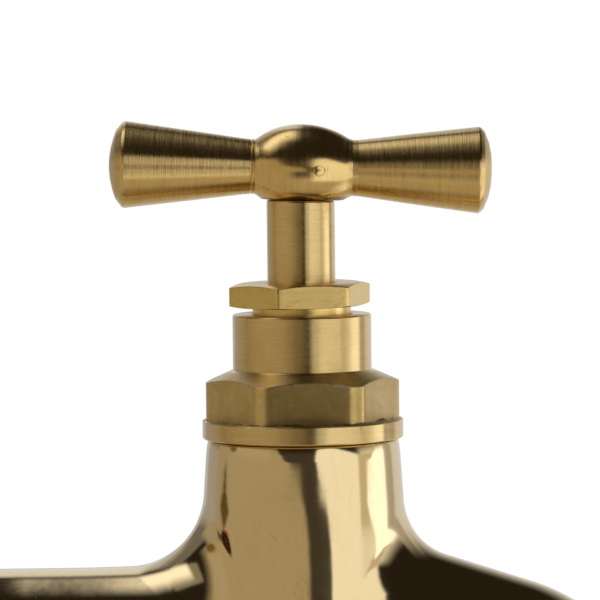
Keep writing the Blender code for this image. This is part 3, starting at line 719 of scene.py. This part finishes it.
def handle_outline():
    """(distance along the handle, radius), from the left end to the right one, with their corner radii."""
    half = (HANDLE_HIGH.x - HANDLE_LOW.x) / 2 / math.cos(LEAN) - 0.02
    end = -half + 0.13
    left = [(end + 1.0 * (r / 5.1) ** 2, r, 0) for r in (0, 1.2, 2.4, 3.6, 4.6)]
    left += [(end + 1.05, 5.2, 0.3), (end + 2.0, 6.38, 0.25), (-26.25, 6.52, 0.15), (-16, 5.19, 0)]
    # two fine grooves beside the hub
    left += [(-8.6, 4.22, 0.1), (-7.5, 4.12, 0.04), (-7.36, 4.0, 0.03), (-7.22, 4.13, 0.04)]
    left += [(-6.98, 4.13, 0.04), (-6.87, 4.0, 0.03), (-6.74, 4.17, 0.04)]
    hub = []
    for i in range(29):
        x = HUB_LEFT + (HUB_RIGHT - HUB_LEFT) * i / 28
        hub.append((x, hub_radius(x - HUB_SHIFT) - 0.0215 * max(0.0, -3 - x) ** 2, 0))
    right = [(7.85, NECK_R, 0.05), (8.7, 4.22, 0.3), (17, 5.3, 0), (half - 2.0, 6.52, 0.5)]
    right += [(half - 1.3, 5.9, 0.5), (half - 0.6, 4.2, 0.8), (half - 0.25, 2.6, 0.6)]
    right += [(half - 0.13, 1.2, 0.4), (half - 0.1, 0, 0)]
    return left + hub + right


def tee_handle():
    """Turned about its own axis, with a flat under the hub and a hole for the pin."""
    outline = handle_outline()
    points = soften([(r, x) for x, r, _ in outline], [c for _, _, c in outline], 4)
    lie = Matrix.Translation((TAP_X, 0, HANDLE_Z)) @ Matrix.Rotation(math.pi / 2 + LEAN, 4, "Y")
    where = "spindle_and_handle", "tee_handle", "turned_brass", lie
    obj = piece("tee_handle_turned", *skin(even_angles(144), lambda angle: points, False), *where)
    down = Vector((-math.sin(LEAN), 0, -math.cos(LEAN)))
    origin = Vector((TAP_X, 0, HANDLE_Z - HUB_FLAT)) * MM
    with edited(obj.data) as shape:
        geometry = [*shape.verts, *shape.edges, *shape.faces]
        bmesh.ops.bisect_plane(shape, geom=geometry, plane_co=origin, plane_no=down, dist=1e-6)
        below = []
        for face in shape.faces:
            away = face.calc_center_median() - origin
            if away.dot(down) > 1e-7 and abs(away.x) < HUB_REACH * MM:
                below.append(face)
        bmesh.ops.delete(shape, geom=below, context="FACES")
        rim = [e for e in shape.edges if e.is_boundary]
        filled = bmesh.ops.edgeloop_fill(shape, edges=rim)["faces"]
        border = [e for f in filled for e in f.edges]
        bmesh.ops.bevel(shape, geom=border, offset=0.14 * MM, segments=3, profile=0.5, affect="EDGES")
        bmesh.ops.triangulate(shape, faces=[f for f in shape.faces if len(f.verts) > 8])
        bmesh.ops.recalc_face_normals(shape, faces=shape.faces)
    drill = pin_mesh("pin_drill", PIN_R + 0.01, 9)
    bore = obj.modifiers.new("pin_hole", "BOOLEAN")
    bore.operation, bore.solver, bore.object = "DIFFERENCE", "EXACT", drill
    obj.modifiers.move(1, 0)
    bpy.context.view_layer.update()
    mesh = bpy.data.meshes.new_from_object(obj.evaluated_get(bpy.context.evaluated_depsgraph_get()))
    obj.modifiers.clear()
    obj.data = mesh
    bpy.data.objects.remove(drill)
    smooth(obj, 32)
    return obj


def pin_mesh(name, radius, half, crown=0.0):
    """A round pin along Y through the handle's hub, as a bare object."""
    outline = [(0, half), (radius, half - crown), (radius, -half + crown), (0, -half)]
    outline = soften(outline, [0, 0.03, 0.03, 0], 3)
    vertices, faces = skin(even_angles(40), lambda angle: outline, False)
    centre = Matrix.Translation((TAP_X + PIN_X, 0, HANDLE_Z - PIN_DROP))
    vertices = moved_by(centre @ Matrix.Rotation(math.pi / 2, 4, "X"), vertices)
    mesh = new_mesh(name, vertices * MM, faces)
    welded(mesh)
    return linked(name, mesh)


def handle_pin():
    half = hub_radius(PIN_X - 0.2)
    obj = pin_mesh("handle_pin_round", PIN_R, half, 0.06)
    for vertex in obj.data.vertices:
        # its ends are dressed flush with the hub
        x, y, z = vertex.co.x / MM - TAP_X, vertex.co.y / MM, vertex.co.z / MM - HANDLE_Z
        flush = math.sqrt(hub_radius(x - HUB_SHIFT) ** 2 - z * z) - half
        vertex.co.y = math.copysign(abs(y) + flush * (abs(y) > half - 1), y) * MM
    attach(obj, "spindle_and_handle")
    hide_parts("handle_pin")
    smooth(obj)
    return obj


def inlet_washer():
    outer, inner = SHOULDER_R, INLET_THREAD_R + 0.3
    near, far = -WASHER_HIGH.x, -WASHER_LOW.x
    points = [(outer, far), (outer, near), (inner, near), (inner, far)]
    where = "tap_body", "inlet_washer", "red_fibre", towards_wall()
    return spun("inlet_washer_fibre", points, [0.25] * 4, *where)


def union_nut():
    top, low = UNION_HIGH.z, UNION_LOW.z
    bore, mouth, half = 13.6, 9.1, UNION_FLATS / 2
    corner_r = half / math.cos(math.pi / 6) - 0.15
    radii = [0, 0.4, 0.25, 0.25, 0.4, 0.3, 0.2, 0.2, 0.6, 0]

    def at(angle):
        radius = hex_radius(angle, UNION_FLATS, corner_r, 0, 0.5)
        slope = 0.55 * max(0.0, radius - half + 0.25)
        points = [(bore, top), (half - 0.25, top), (radius, top - slope), (radius, low + slope)]
        points += [(half - 0.25, low), (mouth, low), (mouth, low + 2.5), (bore, low + 2.5), (bore, top)]
        return soften([*points, (half, top)], radii)[1:-1]

    where = "union", "union_nut", "milled_brass", upright(OUTLET_X)
    return piece("union_nut_milled", *skin(hex_angles(0, 20), at, True), *where)


def hose_tail():
    top, low = TAIL_HIGH.z, TAIL_LOW.z
    points = [(TAIL_FLANGE_R, top), (TAIL_FLANGE_R, top - 2.6), (TAIL_NECK_R, top - 2.6)]
    points += [(TAIL_NECK_R, TAIL_NECK_Z), (6.8, TAIL_NECK_Z), (6.5, TAIL_NECK_Z - 0.9)]
    radii = [0.3, 0.3, 0.5, 0.35, 0.3, 0.2]
    for i in range(BARBS):
        step = TAIL_NECK_Z - i * BARB_PITCH
        if i:
            points += [(BARB_ROOT_R, step), (BARB_ROOT_R, step - 0.9)]
            radii += [0.25, 0.2]
        points.append((BARB_R, step - 0.9))
        radii.append(0.16)
    points += [(5.9, low), (TAIL_BORE_R, low), (TAIL_BORE_R, top)]
    radii += [0.35, 0.3, 0.4]
    where = "tail", "hose_tail", "turned_brass", upright(OUTLET_X)
    return spun("hose_tail_turned", points, radii, *where, segments=128, steps=3)


# ---------------------------------------------------------------- materials


class Graph:
    """Short ways of adding nodes to a tree."""

    def __init__(self, tree):
        self.tree = tree

    def node(self, kind, **settings):
        made = self.tree.nodes.new(kind)
        for key, value in settings.items():
            setattr(made, key, value)
        return made

    def feed(self, socket, value):
        if isinstance(value, bpy.types.NodeSocket):
            self.tree.links.new(value, socket)
        else:
            socket.default_value = value

    def fed(self, kind, *values, **settings):
        """A node with its first sockets fed in turn."""
        made = self.node(kind, **settings)
        for socket, value in zip(made.inputs, values):
            self.feed(socket, value)
        return made

    def math(self, operation, *values):
        return self.fed("ShaderNodeMath", *values, operation=operation).outputs[0]

    def times(self, a, b):
        return self.math("MULTIPLY", a, b)

    def plus(self, a, b):
        return self.math("ADD", a, b)

    def minus(self, a, b):
        return self.math("SUBTRACT", a, b)

    def scaled(self, value, factor, offset):
        return self.math("MULTIPLY_ADD", value, factor, offset)

    def vector(self, operation, *values):
        made = self.fed("ShaderNodeVectorMath", *values, operation=operation)
        return made.outputs["Value" if operation == "LENGTH" else "Vector"]

    def parts(self, vector):
        return self.fed("ShaderNodeSeparateXYZ", vector).outputs

    def whole(self, x, y, z):
        return self.fed("ShaderNodeCombineXYZ", x, y, z).outputs[0]

    def place(self):
        """The place on the object, in metres."""
        return self.node("ShaderNodeTexCoord").outputs["Object"]

    def step(self, value, low, high):
        """0 below low, 1 above high and smooth between. low may be the larger."""
        made = self.node("ShaderNodeMapRange", interpolation_type="SMOOTHSTEP")
        self.feed(made.inputs["Value"], value)
        if not isinstance(low, bpy.types.NodeSocket) and low > high:
            low, high = high, low
            made.inputs["To Min"].default_value, made.inputs["To Max"].default_value = 1, 0
        self.feed(made.inputs["From Min"], low)
        self.feed(made.inputs["From Max"], high)
        return made.outputs[0]

    def window(self, value, low, high, soft):
        """1 between low and high, with edges of a softness."""
        rise = self.step(self.minus(value, low), -soft / 2, soft / 2)
        fall = self.step(self.minus(value, high), soft / 2, -soft / 2)
        return self.times(rise, fall)

    def mix(self, share, first, second):
        made = self.node("ShaderNodeMix", data_type="RGBA")
        self.feed(made.inputs[0], share)
        for socket, value in ((made.inputs[6], first), (made.inputs[7], second)):
            self.feed(socket, value if isinstance(value, bpy.types.NodeSocket) else (*value, 1))
        return made.outputs[2]

    def tint(self, colour, mask, strength, tone):
        """The colour moved towards a tone where the mask is 1."""
        return self.mix(self.times(mask, strength), colour, tone)

    def bump(self, shader, height, strength, distance):
        """Relief on the shader's normal: a height of 0 to 1 over a distance in millimetres."""
        made = self.node("ShaderNodeBump")
        made.inputs["Strength"].default_value = strength
        made.inputs["Distance"].default_value = distance * MM
        self.feed(made.inputs["Height"], height)
        self.feed(shader.inputs["Normal"], made.outputs[0])

    def finish(self, shader, colour, gloss):
        self.feed(shader.inputs["Base Color"], colour)
        self.feed(shader.inputs["Roughness"], gloss)

    def turned(self, vector, angles):
        made = self.fed("ShaderNodeVectorRotate", vector, rotation_type="EULER_XYZ")
        made.inputs["Rotation"].default_value = angles
        return made.outputs[0]

    def noise(self, vector, scale, detail=3.0, roughness=0.5, distortion=0.0):
        made = self.node("ShaderNodeTexNoise")
        self.feed(made.inputs["Vector"], vector)
        settings = {"Scale": scale, "Detail": detail, "Roughness": roughness, "Distortion": distortion}
        for name, value in settings.items():
            made.inputs[name].default_value = value
        return made.outputs[0]

    def stretched(self, vector, factors, detail, roughness, distortion=0.0):
        """Noise drawn out along the axes with the smaller factors."""
        return self.noise(self.vector("MULTIPLY", vector, factors), 1.0, detail, roughness, distortion)

    def dots(self, vector, scale, low, high):
        """Small round marks scattered on the surface, 1 at their centres."""
        made = self.node("ShaderNodeTexVoronoi", feature="F1")
        self.feed(made.inputs["Vector"], vector)
        made.inputs["Scale"].default_value = scale
        return self.step(made.outputs["Distance"], high, low)


def new_material(name):
    material = bpy.data.materials.new(name)
    material.use_nodes = True
    graph = Graph(material.node_tree)
    return material, graph, material.node_tree.nodes["Principled BSDF"]


def local_place(graph, origin, turn=(0, 0, 0)):
    """Object coordinates about an axis: the height along it, the distance from it and the angle round it."""
    moved = graph.vector("SUBTRACT", graph.place(), tuple(v * MM for v in origin))
    if any(turn):
        moved = graph.turned(moved, turn)
    x, y, z = graph.parts(moved)
    radius = graph.vector("LENGTH", graph.whole(x, y, 0.0))
    angle = graph.math("ARCTAN2", y, x)
    return moved, radius, angle, z


def shade(colour, factors):
    return tuple(min(1, c * f) for c, f in zip(colour, factors))


def brushed(name, origin, turn=(0, 0, 0), base=(0.86, 0.62, 0.27), rough=0.34, stretch=0.96,
            lines=1.0, stain=1.0, depth=0.006):
    """Turned brass: fine lines round an axis, a little tarnish in blotches and faint stains."""
    material, graph, shader = new_material(name)
    moved, radius, angle, height = local_place(graph, origin, turn)
    around = graph.whole(graph.math("COSINE", angle), graph.math("SINE", angle), 0.0)

    def rings(scale, offset, roughness):
        spread = graph.whole(graph.times(radius, scale), offset, graph.times(height, scale))
        return graph.noise(graph.vector("ADD", around, spread), 1.0, 2.0, roughness)

    fine = rings(3600, 0.0, 0.6)
    coarse = rings(1900, 3.0, 0.5)
    patch = graph.noise(moved, 170.0, 4.0, 0.6, 0.4)
    speck = graph.dots(moved, 420.0, 0.05, 0.16)
    speck = graph.times(speck, graph.step(graph.noise(moved, 260.0, 1.0), 0.6, 0.7))
    brown, pale = shade(base, (0.78, 0.70, 0.55)), shade(base, (1.06, 1.1, 1.22))
    colour = graph.tint(base, graph.step(patch, 0.42, 0.76), 0.4 * stain, brown)
    colour = graph.tint(colour, graph.step(fine, 0.42, 0.75), 0.4 * lines, pale)
    colour = graph.tint(colour, graph.step(coarse, 0.52, 0.3), 0.3 * lines, brown)
    colour = graph.tint(colour, speck, 0.6 * stain, shade(base, (0.4, 0.4, 0.4)))
    gloss = graph.scaled(graph.minus(coarse, 0.5), 0.14 * lines, rough)
    gloss = graph.scaled(graph.minus(patch, 0.5), 0.08, gloss)
    graph.finish(shader, colour, gloss)
    graph.bump(shader, graph.scaled(coarse, 0.9, fine), 0.5, depth)
    shader.inputs["Metallic"].default_value = 1.0
    shader.inputs["Anisotropic"].default_value = stretch
    shader.inputs["Anisotropic Rotation"].default_value = 0.25
    tangent = graph.node("ShaderNodeTangent", direction_type="RADIAL", axis="X" if any(turn) else "Z")
    graph.feed(shader.inputs["Tangent"], tangent.outputs[0])
    return material, graph, shader, (moved, radius, height, colour, gloss)


def brushed_brass(*settings, **more):
    return brushed(*settings, **more)[0]


def polished_brass():
    """Cast and mirror polished: a faint orange peel, polishing lines, tiny pits and wiped smears."""
    material, graph, shader = new_material("brass_polished")
    place = graph.place()
    peel = graph.noise(place, 210.0, 2.0, 0.45)
    smear = graph.noise(graph.vector("MULTIPLY", place, (1.0, 1.0, 0.35)), 230.0, 4.0, 0.65, 1.2)
    hair = graph.stretched(place, (260.0, 260.0, 5200.0), 2.0, 0.6)
    pit = graph.dots(place, 520.0, 0.02, 0.09)
    pit = graph.times(pit, graph.step(graph.noise(place, 150.0, 2.0), 0.6, 0.68))
    tilted = graph.turned(place, (0.35, 0.62, 0.2))
    scratch = graph.stretched(tilted, (2600.0, 2600.0, 170.0), 2.0, 0.5, 0.3)
    rubbed = graph.step(graph.noise(place, 90.0, 2.0), 0.45, 0.62)
    scratch = graph.times(graph.step(scratch, 0.62, 0.72), rubbed)
    base, dull = (0.90, 0.70, 0.39), (0.80, 0.59, 0.29)
    colour = graph.tint(base, graph.step(smear, 0.45, 0.75), 0.35, dull)
    colour = graph.tint(colour, pit, 0.6, (0.30, 0.19, 0.06))
    colour = graph.tint(colour, scratch, 0.3, (0.55, 0.38, 0.16))
    gloss = graph.scaled(graph.step(smear, 0.4, 0.8), 0.06, 0.075)
    gloss = graph.scaled(graph.step(hair, 0.5, 0.75), 0.035, gloss)
    graph.finish(shader, colour, graph.scaled(scratch, 0.1, gloss))
    graph.bump(shader, graph.scaled(hair, 0.012, graph.scaled(pit, -0.5, peel)), 0.6, 0.03)
    shader.inputs["Metallic"].default_value = 1.0
    return material


def hub_brass(origin, turn, base):
    """The handle's hub: rubbed smoother than its arms, with painted shade darkening its lowest edge round the
    flat under it.
    """
    made = brushed("brass_hub", origin, turn, base, rough=0.2, stretch=0.55, lines=0.9, depth=0.02)
    material, graph, shader, (_, _, _, colour, _) = made
    place = graph.place()
    # painted shade: the hub's lowest edge, round the flat under it, is darkened below a ragged line
    ragged = graph.times(graph.noise(place, 700.0, 3.0, 0.6), 0.5 * MM)
    above = graph.minus(graph.parts(place)[2], graph.plus(ragged, (HANDLE_Z - HUB_FLAT + 0.1) * MM))
    colour = graph.tint(colour, graph.step(above, 0.25 * MM, -0.15 * MM), 0.7, (0.16, 0.11, 0.04))
    graph.feed(shader.inputs["Base Color"], colour)
    return material


def milled_brass(name, origin):
    """Milled hexagons: straight cutter lines across the flats and scratches."""
    base = (0.95, 0.68, 0.24)
    made = brushed(name, origin, base=base, rough=0.28, stretch=0.25, lines=0.8, stain=1.2)
    material, graph, shader, (moved, _, _, colour, _) = made
    scratch = graph.stretched(moved, (900.0, 900.0, 4200.0), 3.0, 0.7, 0.8)
    colour = graph.tint(colour, graph.step(scratch, 0.6, 0.72), 0.45, shade(base, (1.2, 1.2, 1.2)))
    graph.feed(shader.inputs["Base Color"], colour)
    return material


def bonnet_brass():
    """The turned stuffing box over the milled hexagon, with olive patches of painted dark reflection on the
    hexagon's flats, and a dark band of grime and painted crease shade where the hexagon meets the flange.
    """
    made = brushed("brass_bonnet", (TAP_X, 0, 0), rough=0.27, stretch=0.93, stain=0.8)
    material, graph, shader, (moved, radius, height, colour, gloss) = made
    flange_top = (BODY_HIGH.z + FLANGE_HEIGHT) * MM
    on_hex = graph.window(height, flange_top + 0.1 * MM, flange_top + 7.3 * MM, 0.2 * MM)
    on_hex = graph.times(on_hex, graph.step(radius, 10.6 * MM, 10.9 * MM))
    # painted dark reflection: noisy olive patches darken the hexagon's flats
    olive_shade_noise = graph.noise(moved, 320.0, 5.0, 0.7, 0.6)
    olive = (0.72, 0.50, 0.16)
    colour = graph.tint(colour, on_hex, graph.step(olive_shade_noise, 0.3, 0.7), olive)
    streak = graph.stretched(moved, (2600.0, 2600.0, 500.0), 3.0, 0.65, 1.5)
    nick = graph.times(graph.step(streak, 0.62, 0.7), on_hex)
    colour = graph.tint(colour, nick, 0.5, (0.97, 0.82, 0.52))
    # grime and painted crease shade: a dark band with a ragged upper edge, low on the hexagon and on the
    # flange's top edge
    rise = graph.scaled(graph.noise(moved, 240.0, 5.0, 0.65, 0.5), 2.4 * MM, flange_top - 1.12 * MM)
    crease_shade_and_grime = graph.step(graph.minus(height, rise), 0.12 * MM, -0.12 * MM)
    crease_shade_and_grime = graph.times(crease_shade_and_grime, graph.step(height, flange_top - 0.12 * MM, flange_top + 0.02 * MM))
    colour = graph.tint(colour, crease_shade_and_grime, 0.6, (0.14, 0.09, 0.03))
    # bright specks of burr along the hexagon's top edge
    ridge = graph.scaled(radius, CONE_SLOPE, height)
    ridge = graph.minus(ridge, (BODY_HIGH.z + CONE_HEIGHT + CONE_SLOPE * CONE_R) * MM)
    burr = graph.window(ridge, -0.42 * MM, -0.02 * MM, 0.08 * MM)
    burr = graph.times(burr, graph.step(radius, 12.9 * MM, 13.0 * MM))
    burr = graph.times(burr, graph.step(graph.noise(moved, 1300.0, 3.0, 0.7), 0.54, 0.64))
    colour = graph.tint(colour, burr, 0.85, (1.0, 0.9, 0.66))
    gloss = graph.scaled(graph.plus(on_hex, graph.times(burr, 2.5)), 0.1, gloss)
    graph.finish(shader, colour, graph.scaled(crease_shade_and_grime, 0.3, gloss))
    return material


def plain_piece(name, base, second, rough, scale, depth):
    """A non-metal in two tones with a fine grain."""
    material, graph, shader = new_material(name)
    place = graph.place()
    grain = graph.noise(place, scale, 4.0, 0.7, 0.3)
    cloud = graph.noise(place, 60.0, 2.0, 0.5)
    share = graph.step(graph.plus(grain, graph.times(cloud, 0.5)), 0.5, 0.95)
    graph.finish(shader, graph.tint(base, share, 0.8, second), graph.scaled(grain, 0.25, rough - 0.12))
    graph.bump(shader, grain, 0.5, depth)
    return material


def dress(obj, material):
    obj.data.materials.clear()
    obj.data.materials.append(material)


# ---------------------------------------------------------------- studio


def camera():
    """A long lens looking a little down on the tap, level but for a slight roll."""
    data = bpy.data.cameras.new("camera")
    data.sensor_width = 36
    data.lens = 264
    data.clip_end = 20
    cam = linked("camera", data)
    cam.location = ((TAP_X - 0.24) * MM, -0.66, 0.090)
    looks_down, roll = 3.4077, -0.6
    cam.rotation_euler = (math.radians(90 - looks_down), 0, 0)
    cam.rotation_euler.rotate_axis("Z", math.radians(roll))
    bpy.context.scene.camera = cam


def studio():
    """White backdrop to the camera. What the brass mirrors is a studio by direction, in degrees: azimuth
    from the side that the tap is seen from, positive to its right, and elevation above the horizon."""
    world = bpy.data.worlds.new("studio")
    world.use_nodes = True
    bpy.context.scene.world = world
    graph = Graph(world.node_tree)
    back = world.node_tree.nodes["Background"]
    direction = graph.node("ShaderNodeTexCoord").outputs["Generated"]
    x, y, z = graph.parts(graph.vector("NORMALIZE", direction))
    azimuth = graph.math("DEGREES", graph.math("ARCTAN2", x, graph.times(y, -1.0)))
    elevation = graph.math("DEGREES", graph.math("ARCSINE", z))

    def panels(colour, rows):
        """Each row is a panel's light, its azimuths and elevations, and how soft its edges are."""
        for light, az, el, soft_az, soft_el in rows:
            mask = graph.times(graph.window(azimuth, *az, soft_az), graph.window(elevation, *el, soft_el))
            colour = graph.mix(mask, colour, light)
        return colour

    def edge(points):
        """An azimuth that depends on elevation, through a few (elevation, azimuth) points."""
        found = points[0][1]
        for (e0, a0), (e1, a1) in zip(points[:-1], points[1:]):
            share = graph.node("ShaderNodeMapRange")
            graph.feed(share.inputs["Value"], elevation)
            for socket, value in zip(("From Min", "From Max", "To Min", "To Max"), (e0, e1, 0, a1 - a0)):
                share.inputs[socket].default_value = value
            found = graph.plus(share.outputs[0], found)
        return found

    all_round = (-400, 400)
    dark_room = (0.019, 0.015, 0.011)
    colour = panels(dark_room, (
        ((0.052, 0.046, 0.036), (-50, 45), (-60, 16), 10, 12),
        ((0.44, 0.39, 0.30), all_round, (-95, -27), 3, 16),
        ((0.27, 0.23, 0.165), all_round, (-95, -66), 3, 26),
        # the white sweep behind the tap: grey to its left, lighter to its right and straight behind
        ((0.37, 0.37, 0.39), (-152, -92), (-40, 12), 8, 10),
        ((0.17, 0.17, 0.18), (-170, -108), (6, 52), 8, 10),
        ((0.34, 0.34, 0.36), (-172, -138), (20, 46), 16, 14),
        ((0.43, 0.43, 0.44), (109, 136), (-40, 28), 8, 40),
        ((0.68, 0.70, 0.76), (129, 182), (-40, 23), 6, 40),
        ((0.50, 0.52, 0.56), (-195, -150), (-34, 44), 8, 14),
        ((0.74, 0.79, 0.92), (-195, -166), (8, 50), 12, 16),
    ))
    # the left reflector, warm, with a pale upper edge; something small and dark stands beside it
    low_gap = [(-12, -14), (-8.5, 8), (-5.5, 4.5), (0.3, 0.5), (2, -4)]
    near_gap = edge([*low_gap, (3, -15), (5.5, -23), (14, -30), (24, -34)])
    colour = panels(colour, (
        ((0.37, 0.33, 0.26), (-122, -94), (-60, 14), 5, 8),
        ((0.405, 0.355, 0.255), (-99, near_gap), (-60, 22), 6, 14),
        ((0.43, 0.385, 0.30), (-88, -40), (5, 19), 10, 6),
    ))
    across = graph.math("DIVIDE", graph.math("ABSOLUTE", graph.plus(azimuth, 104.0)), 9.5)
    upward = graph.math("DIVIDE", graph.math("ABSOLUTE", graph.plus(elevation, 2.9)), 2.6)
    colour = graph.mix(graph.step(graph.plus(across, upward), 1.1, 0.8), colour, (0.085, 0.062, 0.016))
    away = graph.whole(graph.plus(azimuth, 94.0), graph.minus(elevation, 13.0), 0.0)
    colour = graph.mix(graph.step(graph.vector("LENGTH", away), 7.0, 3.5), colour, (0.15, 0.11, 0.035))
    # the right softbox: its top edge falls away to the right; a brighter lamp stands at its far side
    far_gap = edge([(-12, 15), (-8.5, 33), (-5, 29.5), (0.1, 26), (2, 17), (5, 14), (12, 15), (34, 20)])
    top_edge = graph.math("MINIMUM", graph.scaled(azimuth, -0.55, 44.0), graph.scaled(azimuth, 0.3, 16.0))
    colour = panels(colour, (((0.97, 0.98, 0.99), (far_gap, 78), (-36, top_edge), 3, 5),))
    haze = graph.times(graph.window(azimuth, 70, 112, 12), graph.step(elevation, 26, 0))
    haze = graph.times(haze, graph.step(elevation, -60, -50))
    colour = graph.mix(haze, colour, (0.86, 0.87, 0.86))
    lamp_edge = edge([(-60, 98), (-6, 90), (-3.6, 82), (-0.7, 78), (0.6, 81), (2.5, 88), (8, 96)])
    colour = panels(colour, (
        ((0.58, 0.53, 0.43), (68.5, 92), (-5, 6), 3, 3),
        ((1.35, 1.42, 1.6), (lamp_edge, 111), (-48, 9), 3, 10),
    ))
    # a softbox overhead, to the left and a little behind, laid out on a ceiling one unit up
    ceiling = graph.math("MAXIMUM", z, 0.2)
    across, deep = graph.math("DIVIDE", x, ceiling), graph.math("DIVIDE", y, ceiling)
    deep = graph.scaled(across, -0.495, deep)
    glow = graph.times(graph.window(across, -1.52, -0.4, 0.18), graph.window(deep, -0.26, 0.62, 0.12))
    colour = graph.tint(colour, glow, graph.step(z, 0.45, 0.52), (0.25, 0.24, 0.215))
    mask = graph.times(graph.step(deep, -0.22, 0.30), graph.step(deep, 0.82, 0.48))
    for start, stop in ((-1.16, -0.98), (-0.045, -0.115)):
        mask = graph.times(mask, graph.step(across, start, stop))
    colour = graph.tint(colour, mask, graph.step(z, 0.5, 0.6), (1.22, 1.24, 1.32))
    seen = graph.node("ShaderNodeLightPath").outputs["Is Camera Ray"]
    graph.feed(back.inputs["Color"], graph.mix(seen, colour, (1.0, 1.0, 1.0)))


def floor():
    """A pale round floor that fades into the white sweep, and can be seen through from below."""
    mesh = bpy.data.meshes.new("floor")
    with edited(mesh) as shape:
        bmesh.ops.create_circle(shape, cap_ends=True, segments=96, radius=0.56)
    obj = linked("floor", mesh)
    obj.location = (TAP_X * MM, 0, (TAIL_LOW.z - 0.6) * MM)
    material, graph, shader = new_material("floor_pale")
    place = graph.place()
    tone = graph.noise(place, 30.0, 3.0, 0.5)
    graph.feed(shader.inputs["Base Color"], graph.mix(tone, (0.86, 0.86, 0.85), (0.90, 0.90, 0.89)))
    shader.inputs["Roughness"].default_value = 0.8
    clear = graph.node("ShaderNodeBsdfTransparent")
    fade = graph.step(graph.vector("LENGTH", place), 0.22, 0.54)
    hidden = graph.math("MAXIMUM", fade, graph.node("ShaderNodeNewGeometry").outputs["Backfacing"])
    blend = graph.fed("ShaderNodeMixShader", hidden, shader.outputs[0], clear.outputs[0])
    graph.feed(material.node_tree.nodes["Material Output"].inputs["Surface"], blend.outputs[0])
    dress(obj, material)
    obj.visible_glossy = False


def overhead_light():
    """Soft light from above, for the floor and the pieces that aren't metal."""
    data = bpy.data.lights.new("overhead", "AREA")
    data.shape = "DISK"
    data.size = 1.1
    data.energy = 26
    lamp = linked("overhead", data)
    lamp.location = (TAP_X * MM, -0.1, 1.0)
    lamp.visible_glossy = False
    lamp.visible_camera = False


# ---------------------------------------------------------------- the whole


def build():
    tap, outlet, hub = (TAP_X, 0, 0), (OUTLET_X, 0, 0), (TAP_X, 0, HANDLE_Z)
    along, warm = (0, math.pi / 2 - LEAN, 0), (0.88, 0.62, 0.25)
    gland = milled_brass("brass_gland", tap)
    hidden = brushed_brass("brass_inner", tap, rough=0.3, stretch=0.5)
    fibre = plain_piece("fibre_red", (0.42, 0.12, 0.08), (0.27, 0.07, 0.045), 0.75, 1400.0, 0.03)
    rubber = plain_piece("rubber_black", (0.03, 0.03, 0.03), (0.055, 0.053, 0.05), 0.65, 900.0, 0.01)
    braid = plain_piece("packing_white", (0.82, 0.81, 0.77), (0.66, 0.64, 0.58), 0.6, 1100.0, 0.05)
    dress(casting(), polished_brass())
    dress(bonnet(), bonnet_brass())
    dress(gland_nut(), gland)
    dress(spindle(), brushed_brass("brass_spindle", tap, rough=0.26, stretch=0.93))
    tee = tee_handle()
    dress(tee, brushed_brass("brass_handle", hub, along, warm, 0.26, 0.94, lines=1.1, depth=0.05))
    tee.data.materials.append(hub_brass(hub, along, warm))
    for face in tee.data.polygons:
        place = face.center / MM - Vector(hub)
        distance = place.x * math.cos(LEAN) - place.z * math.sin(LEAN)
        face.material_index = int(HUB_LEFT < distance < HUB_RIGHT + 0.05)
    dress(handle_pin(), brushed_brass("brass_pin", hub, base=warm, rough=0.2, stretch=0.3))
    dress(inlet_washer(), fibre)
    dress(union_nut(), milled_brass("brass_union", outlet))
    dress(hose_tail(), brushed_brass("brass_tail", outlet, rough=0.28, stretch=0.6))
    for material, nodes in (
        (fibre, ("bonnet_washer",)),
        (braid, ("packing_ring_1", "packing_ring_2", "packing_ring_3")),
        (hidden, ("gland_washer", "jumper", "jumper_plate", "jumper_peg")),
        (rubber, ("tap_washer", "union_washer")),
        (gland, ("jumper_nut",)),
    ):
        for node in nodes:
            dress(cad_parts[node], material)


camera()
studio()
overhead_light()
build()
floor()
bpy.context.scene.view_settings.view_transform = "Standard"
